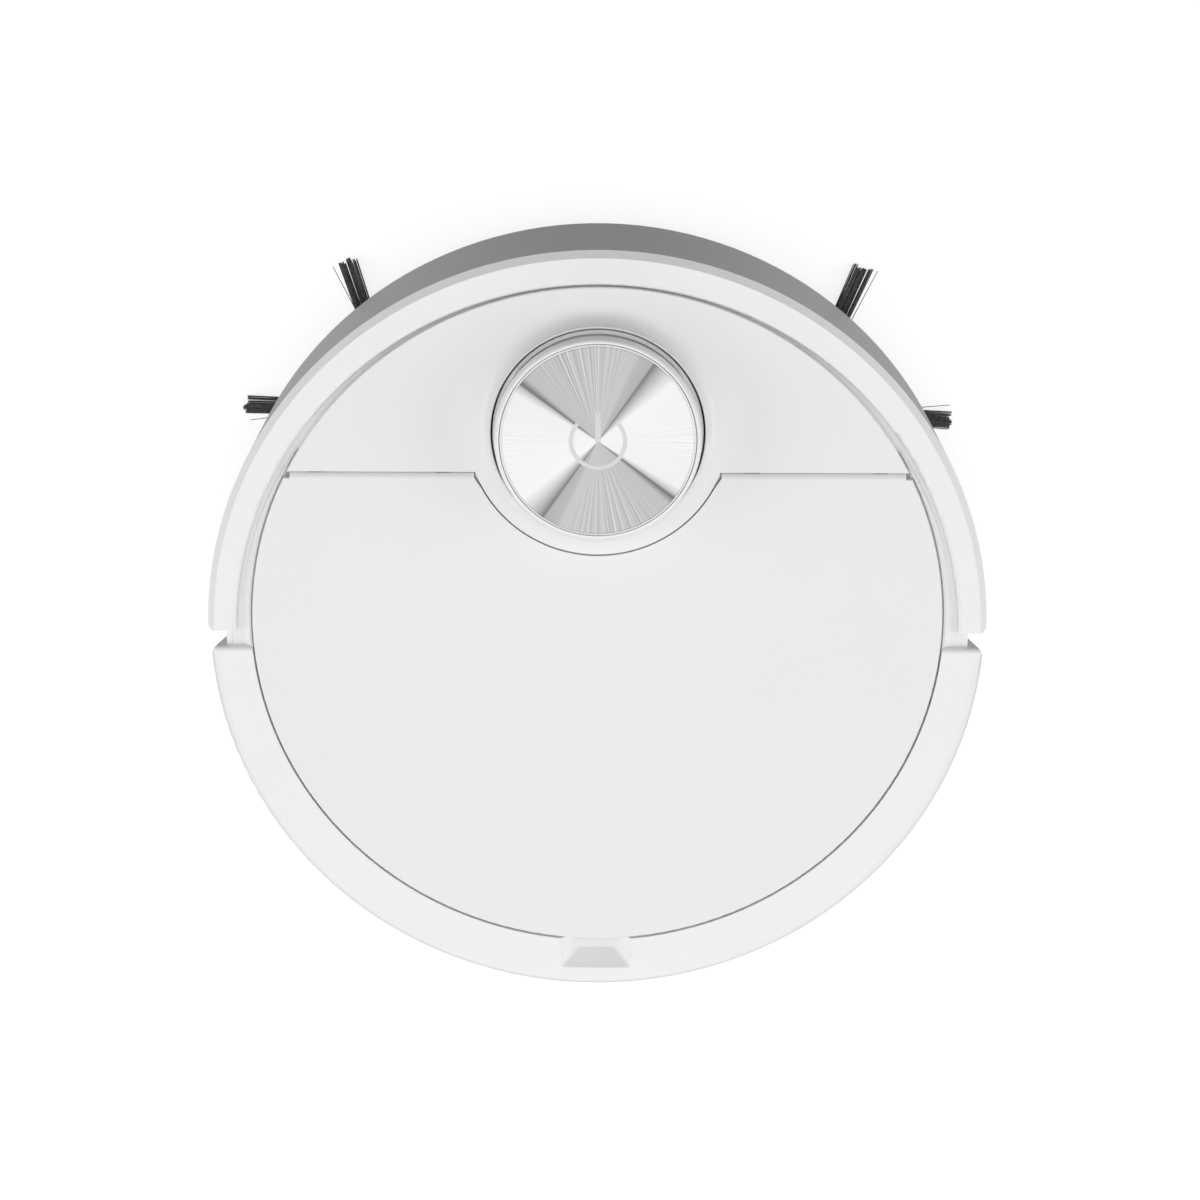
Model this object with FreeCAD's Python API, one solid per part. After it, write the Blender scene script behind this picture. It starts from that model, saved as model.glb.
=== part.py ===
"""Round robotic floor cleaner, modelled as its separate pieces.

Frame: millimetres, +Z up, floor at z = 0, origin on the floor under the centre
of the round body. The robot drives towards -Y and its left side is +X.
"""
import FreeCAD, Part
import math
import os

Vector = FreeCAD.Vector
UP = Vector(0, 0, 1)

# Round body
BODY_R = 164.0              # rear half of the body
INNER_WALL_R = 157.3        # fixed wall behind the bumper
WALL = 2.4                  # thickness of the outer shells
DECK_Z = 78.0               # top of lid, front cover and rear rim
PLATE_Z = DECK_Z - WALL     # underside of the lid and of the front cover
BASE_Z = 10.0               # underside of the chassis
FLOOR_Z = 13.5              # upper face of the chassis floor
LEDGE_Z = 74.0              # ledge that the lid and the cover lie over
LEDGE_T = 2.0
DECK_TRAY_Z = (71.4, 73.0)
ROUND_R = 4.5               # rounding of the rear rim

# Lid and front cover share one circle
LID_R = 145.6
LID_Y = -5.0
SEAM = 0.8
HINGE_Y = -70.0
HINGE_Z = DECK_Z - 2.4
BARREL_R = 2.4
BARREL_X = (51.2, 127.6)
CORNER = (2.6, -70.3, -66.4)    # the lid's cut corner by the turret: width, first and last y
KNUCKLES = (61.0, 114.0)    # inner ends of the fixed knuckles, each side
KNUCKLE_W = 6.0
PIN_R = 1.0
EYE_R = 1.7
LUG_Z = 70.4
COVER_EDGE_Y = -73.0

# Bumper
BUMPER_R = 165.0
BUMPER_Z = 76.9
BUMPER_T = 3.0
BUMPER_CHAMFER = 2.9
BUMPER_INNER_R = 152.8      # about BUMPER_INNER_Y
BUMPER_INNER_Y = 2.1
BUMPER_END_Y = -2.4
BUMPER_TRAVEL = 3.5
STEP_Y = 4.5                # front face of the raised rear body

# Turret with the distance scanner
TURRET_Y = -91.0
SKIRT_R = 53.8
COLLAR_R = 44.9             # raised collar of the front cover
COLLAR_BORE = 44.0
COLLAR_Z = 84.2
COLLAR_FOOT_R = 51.8        # where the collar's hollow flank leaves the deck
BASE_RING_R = 43.2          # turret's lower ring inside the collar
ARC_R = 54.4                # cut-out of the lid round the skirt
RING_LIP_R = 41.7           # inner edge of that ring's raised lip
GROOVE_Z = 79.6             # floor of the groove inside the lip
CAP_R = 42.2
CAP_TOP = 95.4
SLOT_Z = (83.6, 88.8)
BUTTON_R = 39.9
BUTTON_TOP = 95.6
INLAY_R = 39.2
ROTOR_R = 36.0
ROTOR_TOP = 88.4
LENS_Z = 84.8
LENS_R = 2.8
LENS_X = (-12.0, 12.0)
DRUM_R = 30.0
BELT_Z = (66.0, 69.0)
PULLEY_X = 54.0
PULLEY_R = 5.0
TRAY_Z = (60.0, 62.4)

# Drive wheels
WHEEL_R = 34.0
WHEEL_Y = 15.0
TYRE_X = (106.0, 126.0)
RIM_R = 28.2
WELL_X = (99.5, 130.5)
WELL_Y = (-26.0, 56.0)
WELL_TOP = 69.5
WELL_T = 1.8                # wall of the wheel housings
PIVOT = (-16.0, 41.0)       # y, z of the wheel arm's pivot
AXLE_R = 3.0

# Caster
CASTER_Y = -132.0
CASTER_TRAIL = 4.0
CASTER_R = 13.0
FORK_R = 19.0

# Side brushes
BRUSH_X = 88.0
BRUSH_Y = -82.0
BRUSH_ARMS = 5
BRUSH_REACH = 69.0
LEFT_BRUSH_TURN = 18.0      # first arm, degrees from straight ahead, outwards
RIGHT_BRUSH_TURN = 23.0

# Main brush
ROLLER_Y = 22.0
ROLLER_Z = 21.0
ROLLER_R = 18.5
ROLLER_X = 80.0
MOUTH_Y = (-4.0, 46.0)

# Dust bin and battery
BIN = (-62.0, 62.0, 52.0, 130.0, 13.8, 68.0)
BATTERY = (-57.0, 57.0, -106.0, -54.0, 15.0, 40.0)
DUCT = (-34.0, 34.0, 28.0, 44.0)    # x and z of the suction duct

RUN = 0.05                  # radial running clearance
BIG = 400.0

os.makedirs("parts", exist_ok=True)


def save(name, shape):
    solids = shape.Solids
    whole = solids[0] if len(solids) == 1 else Part.makeCompound(solids)
    whole.exportStep("parts/" + name + ".step")
    low = shape.BoundBox
    print(name, len(solids), shape.isValid(), round(shape.Volume),
          [round(v, 1) for v in (low.XMin, low.XMax, low.YMin, low.YMax, low.ZMin, low.ZMax)])


def box(x0, x1, y0, y1, z0, z1):
    return Part.makeBox(x1 - x0, y1 - y0, z1 - z0, Vector(x0, y0, z0))


def disc(r, z0, z1, x=0.0, y=0.0):
    return Part.makeCylinder(r, z1 - z0, Vector(x, y, z0), UP)


def ring(r0, r1, z0, z1, x=0.0, y=0.0):
    return disc(r1, z0, z1, x, y).cut(disc(r0, z0 - 1, z1 + 1, x, y))


def rod(r, x0, x1, y, z):
    return Part.makeCylinder(r, x1 - x0, Vector(x0, y, z), Vector(1, 0, 0))


def turned(points, x=0.0, y=0.0):
    """Solid of revolution; a point (r, z, mid_r, mid_z) ends an arc through its middle."""
    edges = []
    last = points[0]
    for point in list(points[1:]) + [points[0]]:
        start = Vector(last[0], 0, last[1])
        end = Vector(point[0], 0, point[1])
        if len(point) == 4:
            edges.append(Part.Arc(start, Vector(point[2], 0, point[3]), end).toShape())
        elif (start - end).Length > 1e-6:
            edges.append(Part.LineSegment(start, end).toShape())
        last = point
    face = Part.Face(Part.Wire(edges))
    solid = face.revolve(Vector(0, 0, 0), UP, 360)
    solid.translate(Vector(x, y, 0))
    return solid


def corner(r, z, radius):
    """Arc point for a rounded top outer corner that ends flat at height z."""
    slope = radius * (1 - math.sqrt(0.5))
    return (r - radius, z, r - slope, z - slope)


def fuse(first, *others):
    return first.fuse(list(others)).removeSplitter()


def cut(first, *others):
    return first.cut(list(others)).removeSplitter()


def both_sides(shape):
    return [shape, shape.mirror(Vector(0, 0, 0), Vector(1, 0, 0))]


def turn(shape, degrees, x=0.0, y=0.0):
    copy = shape.copy()
    copy.rotate(Vector(x, y, 0), UP, degrees)
    return copy


def rounded_rectangle(x0, x1, y0, y1, z, radius):
    """Wire in a level plane with four rounded corners."""
    slope = radius * (1 - math.sqrt(0.5))
    edges = []
    corners = [(x1, y0, -1, 1), (x1, y1, -1, -1), (x0, y1, 1, -1), (x0, y0, 1, 1)]
    spots = []
    for x, y, sx, sy in corners:
        on_x = Vector(x + sx * radius, y, z)
        on_y = Vector(x, y + sy * radius, z)
        middle = Vector(x + sx * slope, y + sy * slope, z)
        spots.append((on_x, middle, on_y) if sx * sy < 0 else (on_y, middle, on_x))
    for i, (start, middle, end) in enumerate(spots):
        edges.append(Part.Arc(start, middle, end).toShape())
        edges.append(Part.LineSegment(end, spots[(i + 1) % 4][0]).toShape())
    return Part.Wire(edges)


def bumper_sweep():
    """Space that the bumper's top flange passes through as it is pressed in."""
    reach_y = BUMPER_INNER_Y + BUMPER_TRAVEL + 0.3
    slab = box(-BIG, BIG, -BIG, STEP_Y - 0.01, 74.1, 77.2)
    return slab.cut(disc(BUMPER_INNER_R - 0.4, 70, 80, 0, reach_y))


# ---------------------------------------------------------------- outer shells

def make_bumper():
    outer = turned([
        (BUMPER_R - BUMPER_T, 12.5), (BUMPER_R - 0.8, 11.7), (BUMPER_R, 13.0),
        (BUMPER_R, BUMPER_Z - BUMPER_CHAMFER), (BUMPER_R - BUMPER_CHAMFER, BUMPER_Z),
        (158.0, BUMPER_Z), (158.0, 74.5), (160.4, 74.5), (BUMPER_R - BUMPER_T, 72.9)])
    r = BUMPER_INNER_R
    flange = turned([
        (r, 74.9), (r + 2.0, BUMPER_Z, r + 0.586, BUMPER_Z - 0.586),
        (160.2, BUMPER_Z), (160.2, 74.5), (r + 0.4, 74.5)], 0, BUMPER_INNER_Y)
    whole = fuse(outer, flange)
    whole = whole.common(box(-BIG, BIG, -BIG, BUMPER_END_Y, 0, 100))
    ends = [e for e in whole.Edges
            if abs(e.CenterOfMass.y - BUMPER_END_Y) < 0.01 and e.BoundBox.ZLength > 1.5
            and e.BoundBox.XLength < 0.01 and abs(e.CenterOfMass.x) > 164.5]
    return whole.makeFillet(2.6, ends)


def scoop(grow):
    """Finger recess behind the lid: a tapered pocket, larger by grow on each side."""
    top = rounded_rectangle(-15.6 - grow, 15.6 + grow, 136 - grow, 154.8 + grow, DECK_Z, 2.6 + grow)
    low = rounded_rectangle(-9 - grow, 9 + grow, 136 - grow, 148.2 + grow, 70.8 - grow, 1.6 + grow)
    return Part.makeLoft([low, top], True, True)


def make_body_shell():
    rear_outline = Part.Wire([
        Part.LineSegment(Vector(0, STEP_Y, 0), Vector(0, STEP_Y, 76)).toShape(),
        Part.Arc(Vector(0, STEP_Y, 76), Vector(0, STEP_Y + 0.586, 77.414),
                 Vector(0, STEP_Y + 2, DECK_Z)).toShape(),
        Part.makePolygon([Vector(0, STEP_Y + 2, DECK_Z), Vector(0, STEP_Y + 2, 100),
                          Vector(0, BIG, 100), Vector(0, BIG, 0), Vector(0, STEP_Y, 0)])])
    rear_space = Part.Face(rear_outline).extrude(Vector(2 * BIG, 0, 0))
    rear_space.translate(Vector(-BIG, 0, 0))

    r = BODY_R
    rear = turned([
        (r - 3.0, 14.2), (r - 1.2, 13.0), (r, 15.0), (r, DECK_Z - ROUND_R),
        corner(r, DECK_Z, ROUND_R), (138.0, DECK_Z), (138.0, PLATE_Z),
        (r - ROUND_R, PLATE_Z), (r - 3.0, DECK_Z - ROUND_R)])
    step = ring(138.0, BODY_R - 1.5, LEDGE_Z + RUN, DECK_Z)
    step = step.common(box(-BIG, BIG, STEP_Y, STEP_Y + 3, 0, 100))
    side_wall = ring(INNER_WALL_R - WALL, BODY_R - 1.5, 14.2, PLATE_Z)
    side_wall = side_wall.common(box(-BIG, BIG, STEP_Y, 40.0, 0, 100))
    rear = fuse(rear, step, side_wall).common(rear_space)
    # The rear body starts behind a facet that leans back as it goes down.
    for sign in (1, -1):
        top = Vector(sign * 163.2, 6.4, 77.0)
        inner = Vector(sign * 157.3, 3.0, 60.0)
        foot = Vector(sign * 163.2, 30.0, 14.0)
        normal = (inner - top).cross(foot - top)
        if normal.y > 0:
            normal = normal * -1
        block = Part.makeBox(300, 300, 60, Vector(-150, -150, 0))
        block.Placement = FreeCAD.Placement(inner, FreeCAD.Rotation(UP, normal))
        block = block.cut(disc(INNER_WALL_R, 0, 200))
        rear = rear.cut(block)
    rear = cut(rear, disc(LID_R + SEAM, LEDGE_Z, 100, 0, LID_Y))

    front_wall = ring(INNER_WALL_R - WALL, INNER_WALL_R, 14.2, LEDGE_Z)
    seam_r = LID_R + SEAM
    seam_wall = ring(seam_r, seam_r + 2, LEDGE_Z + RUN, DECK_Z - 1, 0, LID_Y)
    seam_wall = seam_wall.common(box(-BIG, BIG, STEP_Y + 1, BIG, 0, 100))
    shell = fuse(rear, front_wall, seam_wall)
    shell = shell.fuse(scoop(WALL).common(box(-BIG, BIG, 0, BIG, 0, DECK_Z - 0.5)))
    opening = scoop(0.0).fuse(disc(seam_r, LEDGE_Z, 100, 0, LID_Y))
    return cut(shell, opening, grille_window(0.0))


def make_deck_frame():
    """Inner frame: the ledge under the lid, the cove by the bumper and the screw bosses."""
    ledge = disc(INNER_WALL_R - WALL - RUN, LEDGE_Z - LEDGE_T, LEDGE_Z)
    ledge = ledge.cut(disc(139.0, 0, 100, 0, LID_Y))
    seam_r = LID_R + SEAM
    cove = turned([
        (seam_r, LEDGE_Z - 1), (seam_r, 76.4), (seam_r + 0.6, 76.9), (151.5, LEDGE_Z, 148.4, 75.1),
        (151.5, LEDGE_Z - 1)], 0, LID_Y)
    cove = cove.common(box(-BIG, BIG, -BIG, STEP_Y - RUN, 0, 100)).cut(bumper_sweep())
    cove = cove.cut(ring(INNER_WALL_R - WALL - RUN, BIG, 0, LEDGE_Z + RUN))
    hinge_room = rod(BARREL_R + 0.4, KNUCKLES[1], BARREL_X[1] + 2, HINGE_Y, HINGE_Z)
    frame = cut(fuse(ledge, cove), scoop(WALL + RUN), bin_outline(2.9), *both_sides(hinge_room))
    for x, y in SCREWS:
        boss = disc(4.0, FLOOR_Z + 0.1, LEDGE_Z - LEDGE_T, x, y)
        frame = frame.fuse(boss.cut(disc(1.5, FLOOR_Z, 30, x, y)))
    return frame.removeSplitter()


def make_bin_tray():
    """Tray under the lid that hides the works, with a collared opening for the dust bin."""
    z0, z1 = DECK_TRAY_Z
    gap = 1.2
    wall = 1.6
    deck = disc(138.9, z0, z1, 0, LID_Y).common(box(-BIG, BIG, -64.0, BIG, 0, 100))
    deck = cut(deck, disc(SKIRT_R - 1.0, 0, 100, 0, TURRET_Y), scoop(WALL + RUN))
    collar = bin_outline(gap + wall).common(disc(BIG, z0 - 12, z1))
    return fuse(deck, collar).cut(bin_outline(gap))


def bin_outline(margin):
    """Tall block over the dust bin, wider than the bin by margin all round."""
    x0, x1, y0, y1 = BIN[:4]
    return box(x0 - margin, x1 + margin, y0 - margin, y1 + margin, 0, 100)


def grille_window(margin):
    """Curved block in the rear left wall that the exhaust grille fills."""
    window = ring(BODY_R - 8, BODY_R + 4, 28 + margin, 56 - margin)
    half = 14.0 - margin / 3
    far = 300.0
    wedge = Part.makePolygon([
        Vector(0, 0, 0), Vector(far * math.cos(math.radians(GRILLE_AT - half)),
                                far * math.sin(math.radians(GRILLE_AT - half)), 0),
        Vector(far * math.cos(math.radians(GRILLE_AT + half)),
               far * math.sin(math.radians(GRILLE_AT + half)), 0), Vector(0, 0, 0)])
    return window.common(Part.Face(wedge).extrude(Vector(0, 0, 100)))


def make_exhaust_grille():
    r = BODY_R - 0.4
    band = ring(r - 2.4, r, 0, 100).common(grille_window(0.0))
    slots = [box(-8, BIG, -1.1, 1.1, 32, 52)]
    for step in range(-6, 7):
        bar = turn(slots[0], GRILLE_AT + step * 1.9)
        band = band.cut(bar)
    return band


def make_top_cover():
    rim = LID_R
    plate = turned([
        (0, PLATE_Z), (rim - 2, PLATE_Z), (rim - 2, LEDGE_Z), (rim, LEDGE_Z), (rim, DECK_Z - 0.4),
        (rim - 0.4, DECK_Z), (0, DECK_Z)], 0, LID_Y)
    plate = plate.common(box(-BIG, BIG, -BIG, COVER_EDGE_Y, 0, 100))
    plate = plate.cut(bumper_sweep())
    skirt = turned([
        (COLLAR_BORE - 1, 75.0), (SKIRT_R, 75.0), (SKIRT_R, DECK_Z - 0.3), (SKIRT_R - 0.3, DECK_Z),
        (COLLAR_FOOT_R, DECK_Z), (COLLAR_R, COLLAR_Z - 0.8, 47.41, 79.51), (COLLAR_R, COLLAR_Z - 0.3),
        (COLLAR_R - 0.3, COLLAR_Z), (COLLAR_BORE - 1, COLLAR_Z)], 0, TURRET_Y)
    cover = cut(fuse(plate, skirt), disc(COLLAR_BORE, 70, 100, 0, TURRET_Y))
    corners = both_sides(turret_corner(BARREL_X[0] - 0.3, 73.8, PLATE_Z - 0.2))
    knuckles = [side for start in KNUCKLES for side in both_sides(knuckle(start))]
    return fuse(cover, *(corners + knuckles))


def turret_corner(x, z0, z1):
    """Block in the corner between the turret skirt and the end of the lid's barrel."""
    width, y0, y1 = CORNER
    inside = x - 5.0
    outline = [Vector(x, COVER_EDGE_Y - 0.5, z0), Vector(x, y0, z0), Vector(x - width, y1, z0),
               Vector(inside, y1, z0), Vector(inside, COVER_EDGE_Y - 0.5, z0)]
    return Part.Face(Part.makePolygon(outline + outline[:1])).extrude(Vector(0, 0, z1 - z0))


def knuckle(start):
    """Fixed hinge eye, held from below by a hooked lug under the front cover."""
    x0 = start + 0.3
    x1 = start + KNUCKLE_W - 0.3
    eye = rod(EYE_R, x0, x1, HINGE_Y, HINGE_Z)
    stem = box(x0, x1, HINGE_Y - 1.2, HINGE_Y + 0.4, LUG_Z, HINGE_Z)
    arm = box(x0, x1, COVER_EDGE_Y - 2.4, HINGE_Y + 0.4, LUG_Z, LUG_Z + 1.6)
    foot = box(x0, x1, COVER_EDGE_Y - 2.4, COVER_EDGE_Y - 0.8, LUG_Z, PLATE_Z + 0.6)
    return cut(fuse(eye, stem, arm, foot), rod(PIN_R + 0.02, x0 - 1, x1 + 1, HINGE_Y, HINGE_Z))


def knuckle_pocket(start):
    """Room in the lid's barrel for a fixed eye, open downwards for its lug."""
    x0 = start
    x1 = start + KNUCKLE_W
    room = rod(EYE_R + 0.2, x0, x1, HINGE_Y, HINGE_Z)
    mouth = [Vector(x0, HINGE_Y + y, HINGE_Z + z) for y, z in ((0, 0), (-4, 1.45), (-4, -4), (1.07, -4))]
    wedge = Part.Face(Part.makePolygon(mouth + mouth[:1])).extrude(Vector(x1 - x0, 0, 0))
    return fuse(room, wedge)


def make_dust_lid():
    rim = LID_R
    plate = turned([
        (0, PLATE_Z), (rim - 2, PLATE_Z), (rim - 2, LEDGE_Z + 0.4), (rim, LEDGE_Z + 0.4),
        (rim, DECK_Z - 0.5), corner(rim, DECK_Z, 0.5), (0, DECK_Z)], 0, LID_Y)
    plate = plate.common(box(-BIG, BIG, HINGE_Y, BIG, 0, 100))
    plate = plate.cut(disc(ARC_R, 0, 100, 0, TURRET_Y))
    x0, x1 = BARREL_X
    plate = cut(plate, *both_sides(turret_corner(x0, PLATE_Z - 2, DECK_Z + 2)))
    for side in both_sides(rod(BARREL_R, x0, x1, HINGE_Y, HINGE_Z)):
        plate = plate.fuse(side)
    notches = [side for start in KNUCKLES for side in both_sides(knuckle_pocket(start))]
    holes = both_sides(rod(PIN_R + RUN, KNUCKLES[0] - 5, KNUCKLES[1] + 11, HINGE_Y, HINGE_Z))
    return cut(plate, *(notches + holes))


def make_hinge_pins():
    pin = rod(PIN_R, KNUCKLES[0] - 4.5, KNUCKLES[1] + 10.5, HINGE_Y, HINGE_Z)
    return Part.makeCompound(both_sides(pin))


# ---------------------------------------------------------------- turret

def make_turret_cap():
    z0, z1 = SLOT_Z
    r = BASE_RING_R
    base = turned([
        (37.4, 76.2), (r, 76.2), (r, z0 - 0.4), (r - 0.4, z0), (RING_LIP_R, z0), (RING_LIP_R, GROOVE_Z),
        (37.4, GROOVE_Z)], 0, TURRET_Y)
    cup = turned([
        (0, z1), (CAP_R - 0.7, z1), (CAP_R, z1 + 0.7), (CAP_R, 92.6), (CAP_R - 0.4, 94.0),
        (CAP_R - 1.4, CAP_TOP, CAP_R - 0.7, 94.9), (BUTTON_R + 0.3, CAP_TOP),
        (BUTTON_R + 0.3, 90.4), (0, 90.4)],
        0, TURRET_Y)
    cap = base.fuse(cup)
    post = box(-2.2, 2.2, TURRET_Y - 41.2, TURRET_Y - 37.6, GROOVE_Z - 0.4, z1 + 0.4)
    for angle in (56, -56, 118, -118, 180):
        cap = cap.fuse(turn(post, angle, 0, TURRET_Y))
    return cap.removeSplitter()


def make_power_button():
    r = BUTTON_R
    body = turned([
        (0, 92.6), (4.0, 92.6), (4.0, 93.2), (r - 1.8, 93.2), (r - 1.8, 91.6), (r, 91.6),
        (r, BUTTON_TOP - 0.4), corner(r, BUTTON_TOP, 0.4), (INLAY_R + 0.1, BUTTON_TOP),
        (INLAY_R + 0.1, BUTTON_TOP - 0.4), (0, BUTTON_TOP - 0.4)], 0, TURRET_Y)
    return body


def make_button_inlay():
    return disc(INLAY_R, BUTTON_TOP - 0.4, BUTTON_TOP, 0, TURRET_Y)


def make_button_spring():
    return ring(9.0, 10.2, 90.45, 93.15, 0, TURRET_Y)


def power_switch():
    base = box(-3, 3, TURRET_Y - 3, TURRET_Y + 3, 90.4, 91.4)
    return base.fuse(disc(1.5, 91.3, 91.75, 0, TURRET_Y)).removeSplitter()


def make_lidar_rotor():
    body = turned([
        (16.0 + RUN, 63.2), (33.0, 63.2), (33.0, 65.6), (DRUM_R, 65.6), (DRUM_R, 69.4), (33.0, 69.4),
        (33.0, 71.5), (27.0, 71.5), (27.0, 80.2), (ROTOR_R, 80.2), (ROTOR_R, 87.6),
        (ROTOR_R - 0.8, ROTOR_TOP), (0, ROTOR_TOP), (0, 76.0), (16.0 + RUN, 76.0)], 0, TURRET_Y)
    flat = box(-20, 20, TURRET_Y - 40, TURRET_Y - 30.5, 81.0, 87.8)
    body = body.cut(flat)
    return body.cut(lens_holes()).removeSplitter()


def lens_rod(x, y, length, radius=LENS_R):
    return Part.makeCylinder(radius, length, Vector(x, TURRET_Y + y, LENS_Z), Vector(0, 1, 0))


def lens_holes():
    return Part.makeCompound([lens_rod(x, -32, 8) for x in LENS_X])


def make_lidar_lenses():
    lenses = []
    for x in LENS_X:
        ball = Part.makeSphere(5.0, Vector(x, TURRET_Y - 26.6, LENS_Z))
        front = ball.common(lens_rod(x, -33, 2.6))
        lenses.append(lens_rod(x, -30.5, 6).fuse(front).removeSplitter())
    return Part.makeCompound(lenses)


def make_lidar_bearing():
    return ring(10.0 + 0.02, 16.0, 63.6, 70.0, 0, TURRET_Y)


def make_lidar_base():
    z0, z1 = TRAY_Z
    tray = box(-68, 68, -120, -48, z0, z1)
    boss = ring(6.0, 10.0, z1 - 0.2, 74.0, 0, TURRET_Y)
    shoulder = ring(6.0, 12.0, z1 - 0.2, 63.6, 0, TURRET_Y)
    tray = fuse(tray, boss, shoulder)
    tray = tray.cut(disc(6.0, 50, 80, 0, TURRET_Y))
    tray = tray.cut(disc(2.2, 50, 80, PULLEY_X, TURRET_Y))
    for x, y in TRAY_LEGS:
        tray = tray.fuse(disc(3.0, FLOOR_Z, z0 + 0.2, x, y))
    return tray.removeSplitter()


def make_lidar_motor():
    z0 = TRAY_Z[0]
    return disc(8.0, z0 - 15, z0, PULLEY_X, TURRET_Y)


def make_lidar_pulley():
    wheel = turned([
        (0, 58.0 + 2.2), (1.8, 60.2), (1.8, 64.0), (7.0, 64.0), (7.0, 65.6), (PULLEY_R, 65.6),
        (PULLEY_R, 69.4), (7.0, 69.4), (7.0, 70.6), (0, 70.6)], PULLEY_X, TURRET_Y)
    return wheel


def make_lidar_belt():
    """Flat belt: two arcs joined by the outer tangents of the two pulleys."""
    def loop(gap):
        big = DRUM_R + gap
        small = PULLEY_R + gap
        lean = math.acos((big - small) / PULLEY_X)
        c, s = math.cos(lean), math.sin(lean)
        a = Vector(big * c, TURRET_Y + big * s, 0)
        b = Vector(PULLEY_X + small * c, TURRET_Y + small * s, 0)
        a2 = Vector(a.x, 2 * TURRET_Y - a.y, 0)
        b2 = Vector(b.x, 2 * TURRET_Y - b.y, 0)
        return Part.Face(Part.Wire([
            Part.LineSegment(a, b).toShape(),
            Part.Arc(b, Vector(PULLEY_X + small, TURRET_Y, 0), b2).toShape(),
            Part.LineSegment(b2, a2).toShape(),
            Part.Arc(a2, Vector(-big, TURRET_Y, 0), a).toShape()]))
    z0, z1 = BELT_Z
    belt = loop(1.6).extrude(Vector(0, 0, z1 - z0)).cut(loop(0.35).extrude(Vector(0, 0, z1 - z0)))
    belt.translate(Vector(0, 0, z0))
    return belt


# ---------------------------------------------------------------- chassis

def make_chassis():
    floor = turned([(0, BASE_Z), (154.0, BASE_Z), (156.6, BASE_Z + 2), (156.6, FLOOR_Z), (0, FLOOR_Z)])
    rear = turned([(0, BASE_Z), (155.0, BASE_Z), (161.0, FLOOR_Z - 1), (161.0, FLOOR_Z), (0, FLOOR_Z)])
    floor = floor.fuse(rear.common(box(-BIG, BIG, 42, BIG, 0, 100)))

    x0, x1 = WELL_X
    y0, y1 = WELL_Y
    hollows = both_sides(box(x0, x1, y0, y1, BASE_Z - 1, FLOOR_Z + 1))

    m0, m1 = MOUTH_Y
    chamber = box(-85, 85, m0 - 2, m1 + 2, BASE_Z, 46)
    mouth = box(-83, 83, m0, m1, BASE_Z - 1, 44)
    dx0, dx1, dz0, dz1 = DUCT
    duct = box(dx0, dx1, m1 - 1, m1 + 3, dz0, dz1 - 1.5)
    bearings = rod(4.0, -86, 86, ROLLER_Y, ROLLER_Z)

    cup = disc(FORK_R + 3.5, BASE_Z, 34, 0, CASTER_Y)
    neck = disc(7.5, 33, 47, 0, CASTER_Y)
    cup_space = disc(FORK_R + 1.5, 0, 32, 0, CASTER_Y)
    neck_space = disc(6.0, 31, 45, 0, CASTER_Y)

    bx0, bx1, by0, by1 = BATTERY[:4]
    bay = box(bx0 - 3, bx1 + 3, by0 - 1.5, by1 + 1.5, 0, 20)

    floor = fuse(floor, chamber, cup, neck)
    floor = cut(floor, *(hollows + [mouth, duct, bearings, cup_space, neck_space, bay]))
    holes = []
    for x, y in SCREWS:
        holes.append(disc(3.2, 0, 12.0, x, y))
        holes.append(disc(1.7, 0, 20.0, x, y))
    for side in (1, -1):
        holes.append(disc(10.5, 0, 11.6, side * BRUSH_X, BRUSH_Y))
        holes.append(disc(4.0 + 0.3, 0, 20, side * BRUSH_X, BRUSH_Y))
    holes += contact_pockets()
    holes += sensor_pockets()
    return cut(floor, *holes)


def make_wheel_housings():
    """Boxes over the two wheels, open below, that stand on the chassis floor."""
    x0, x1 = WELL_X
    y0, y1 = WELL_Y
    t = WELL_T
    outer = box(x0 - t, x1 + t, y0 - t, y1 + t, FLOOR_Z, WELL_TOP + t)
    housing = outer.cut(box(x0, x1, y0, y1, FLOOR_Z - 1, WELL_TOP))
    return Part.makeCompound(both_sides(housing))


def contact_pockets():
    return [box(x - 7, x + 7, -146, -138.5, BASE_Z - 1, BASE_Z + 1.8) for x in (-32, 32)]


def sensor_pockets():
    pockets = []
    for angle in SENSOR_ANGLES:
        pocket = box(-8, 8, -151, -143, BASE_Z - 1, BASE_Z + 2)
        pockets.append(turn(pocket, angle))
    return pockets


def make_charging_contacts():
    plates = [box(x - 7, x + 7, -146, -138.5, BASE_Z - 0.3, BASE_Z + 1.8) for x in (-32, 32)]
    return Part.makeCompound(plates)


def make_cliff_sensors():
    windows = []
    for angle in SENSOR_ANGLES:
        window = box(-8, 8, -151, -143, BASE_Z + 0.2, BASE_Z + 2)
        windows.append(turn(window, angle))
    return Part.makeCompound(windows)


def make_battery_pack():
    return box(*BATTERY)


def make_battery_cover():
    x0, x1, y0, y1 = BATTERY[:4]
    plate = box(x0 - 2.7, x1 + 2.7, y0 - 1.2, y1 + 1.2, BASE_Z, BASE_Z + 2.4)
    wells = [disc(3.2, 0, BASE_Z + 1.2, x, -80) for x in (-54, 54)]
    return cut(plate, *wells)


def make_chassis_screws():
    screws = []
    for x, y in SCREWS:
        head = disc(2.9, 10.3, 12.0, x, y)
        slot = box(x - 2, x + 2, y - 0.35, y + 0.35, 10, 11.1)
        cross = box(x - 0.35, x + 0.35, y - 2, y + 2, 10, 11.1)
        shank = disc(1.42, 11.9, 24.0, x, y)
        screws.append(cut(head.fuse(shank), slot, cross))
    return Part.makeCompound(screws)


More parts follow.
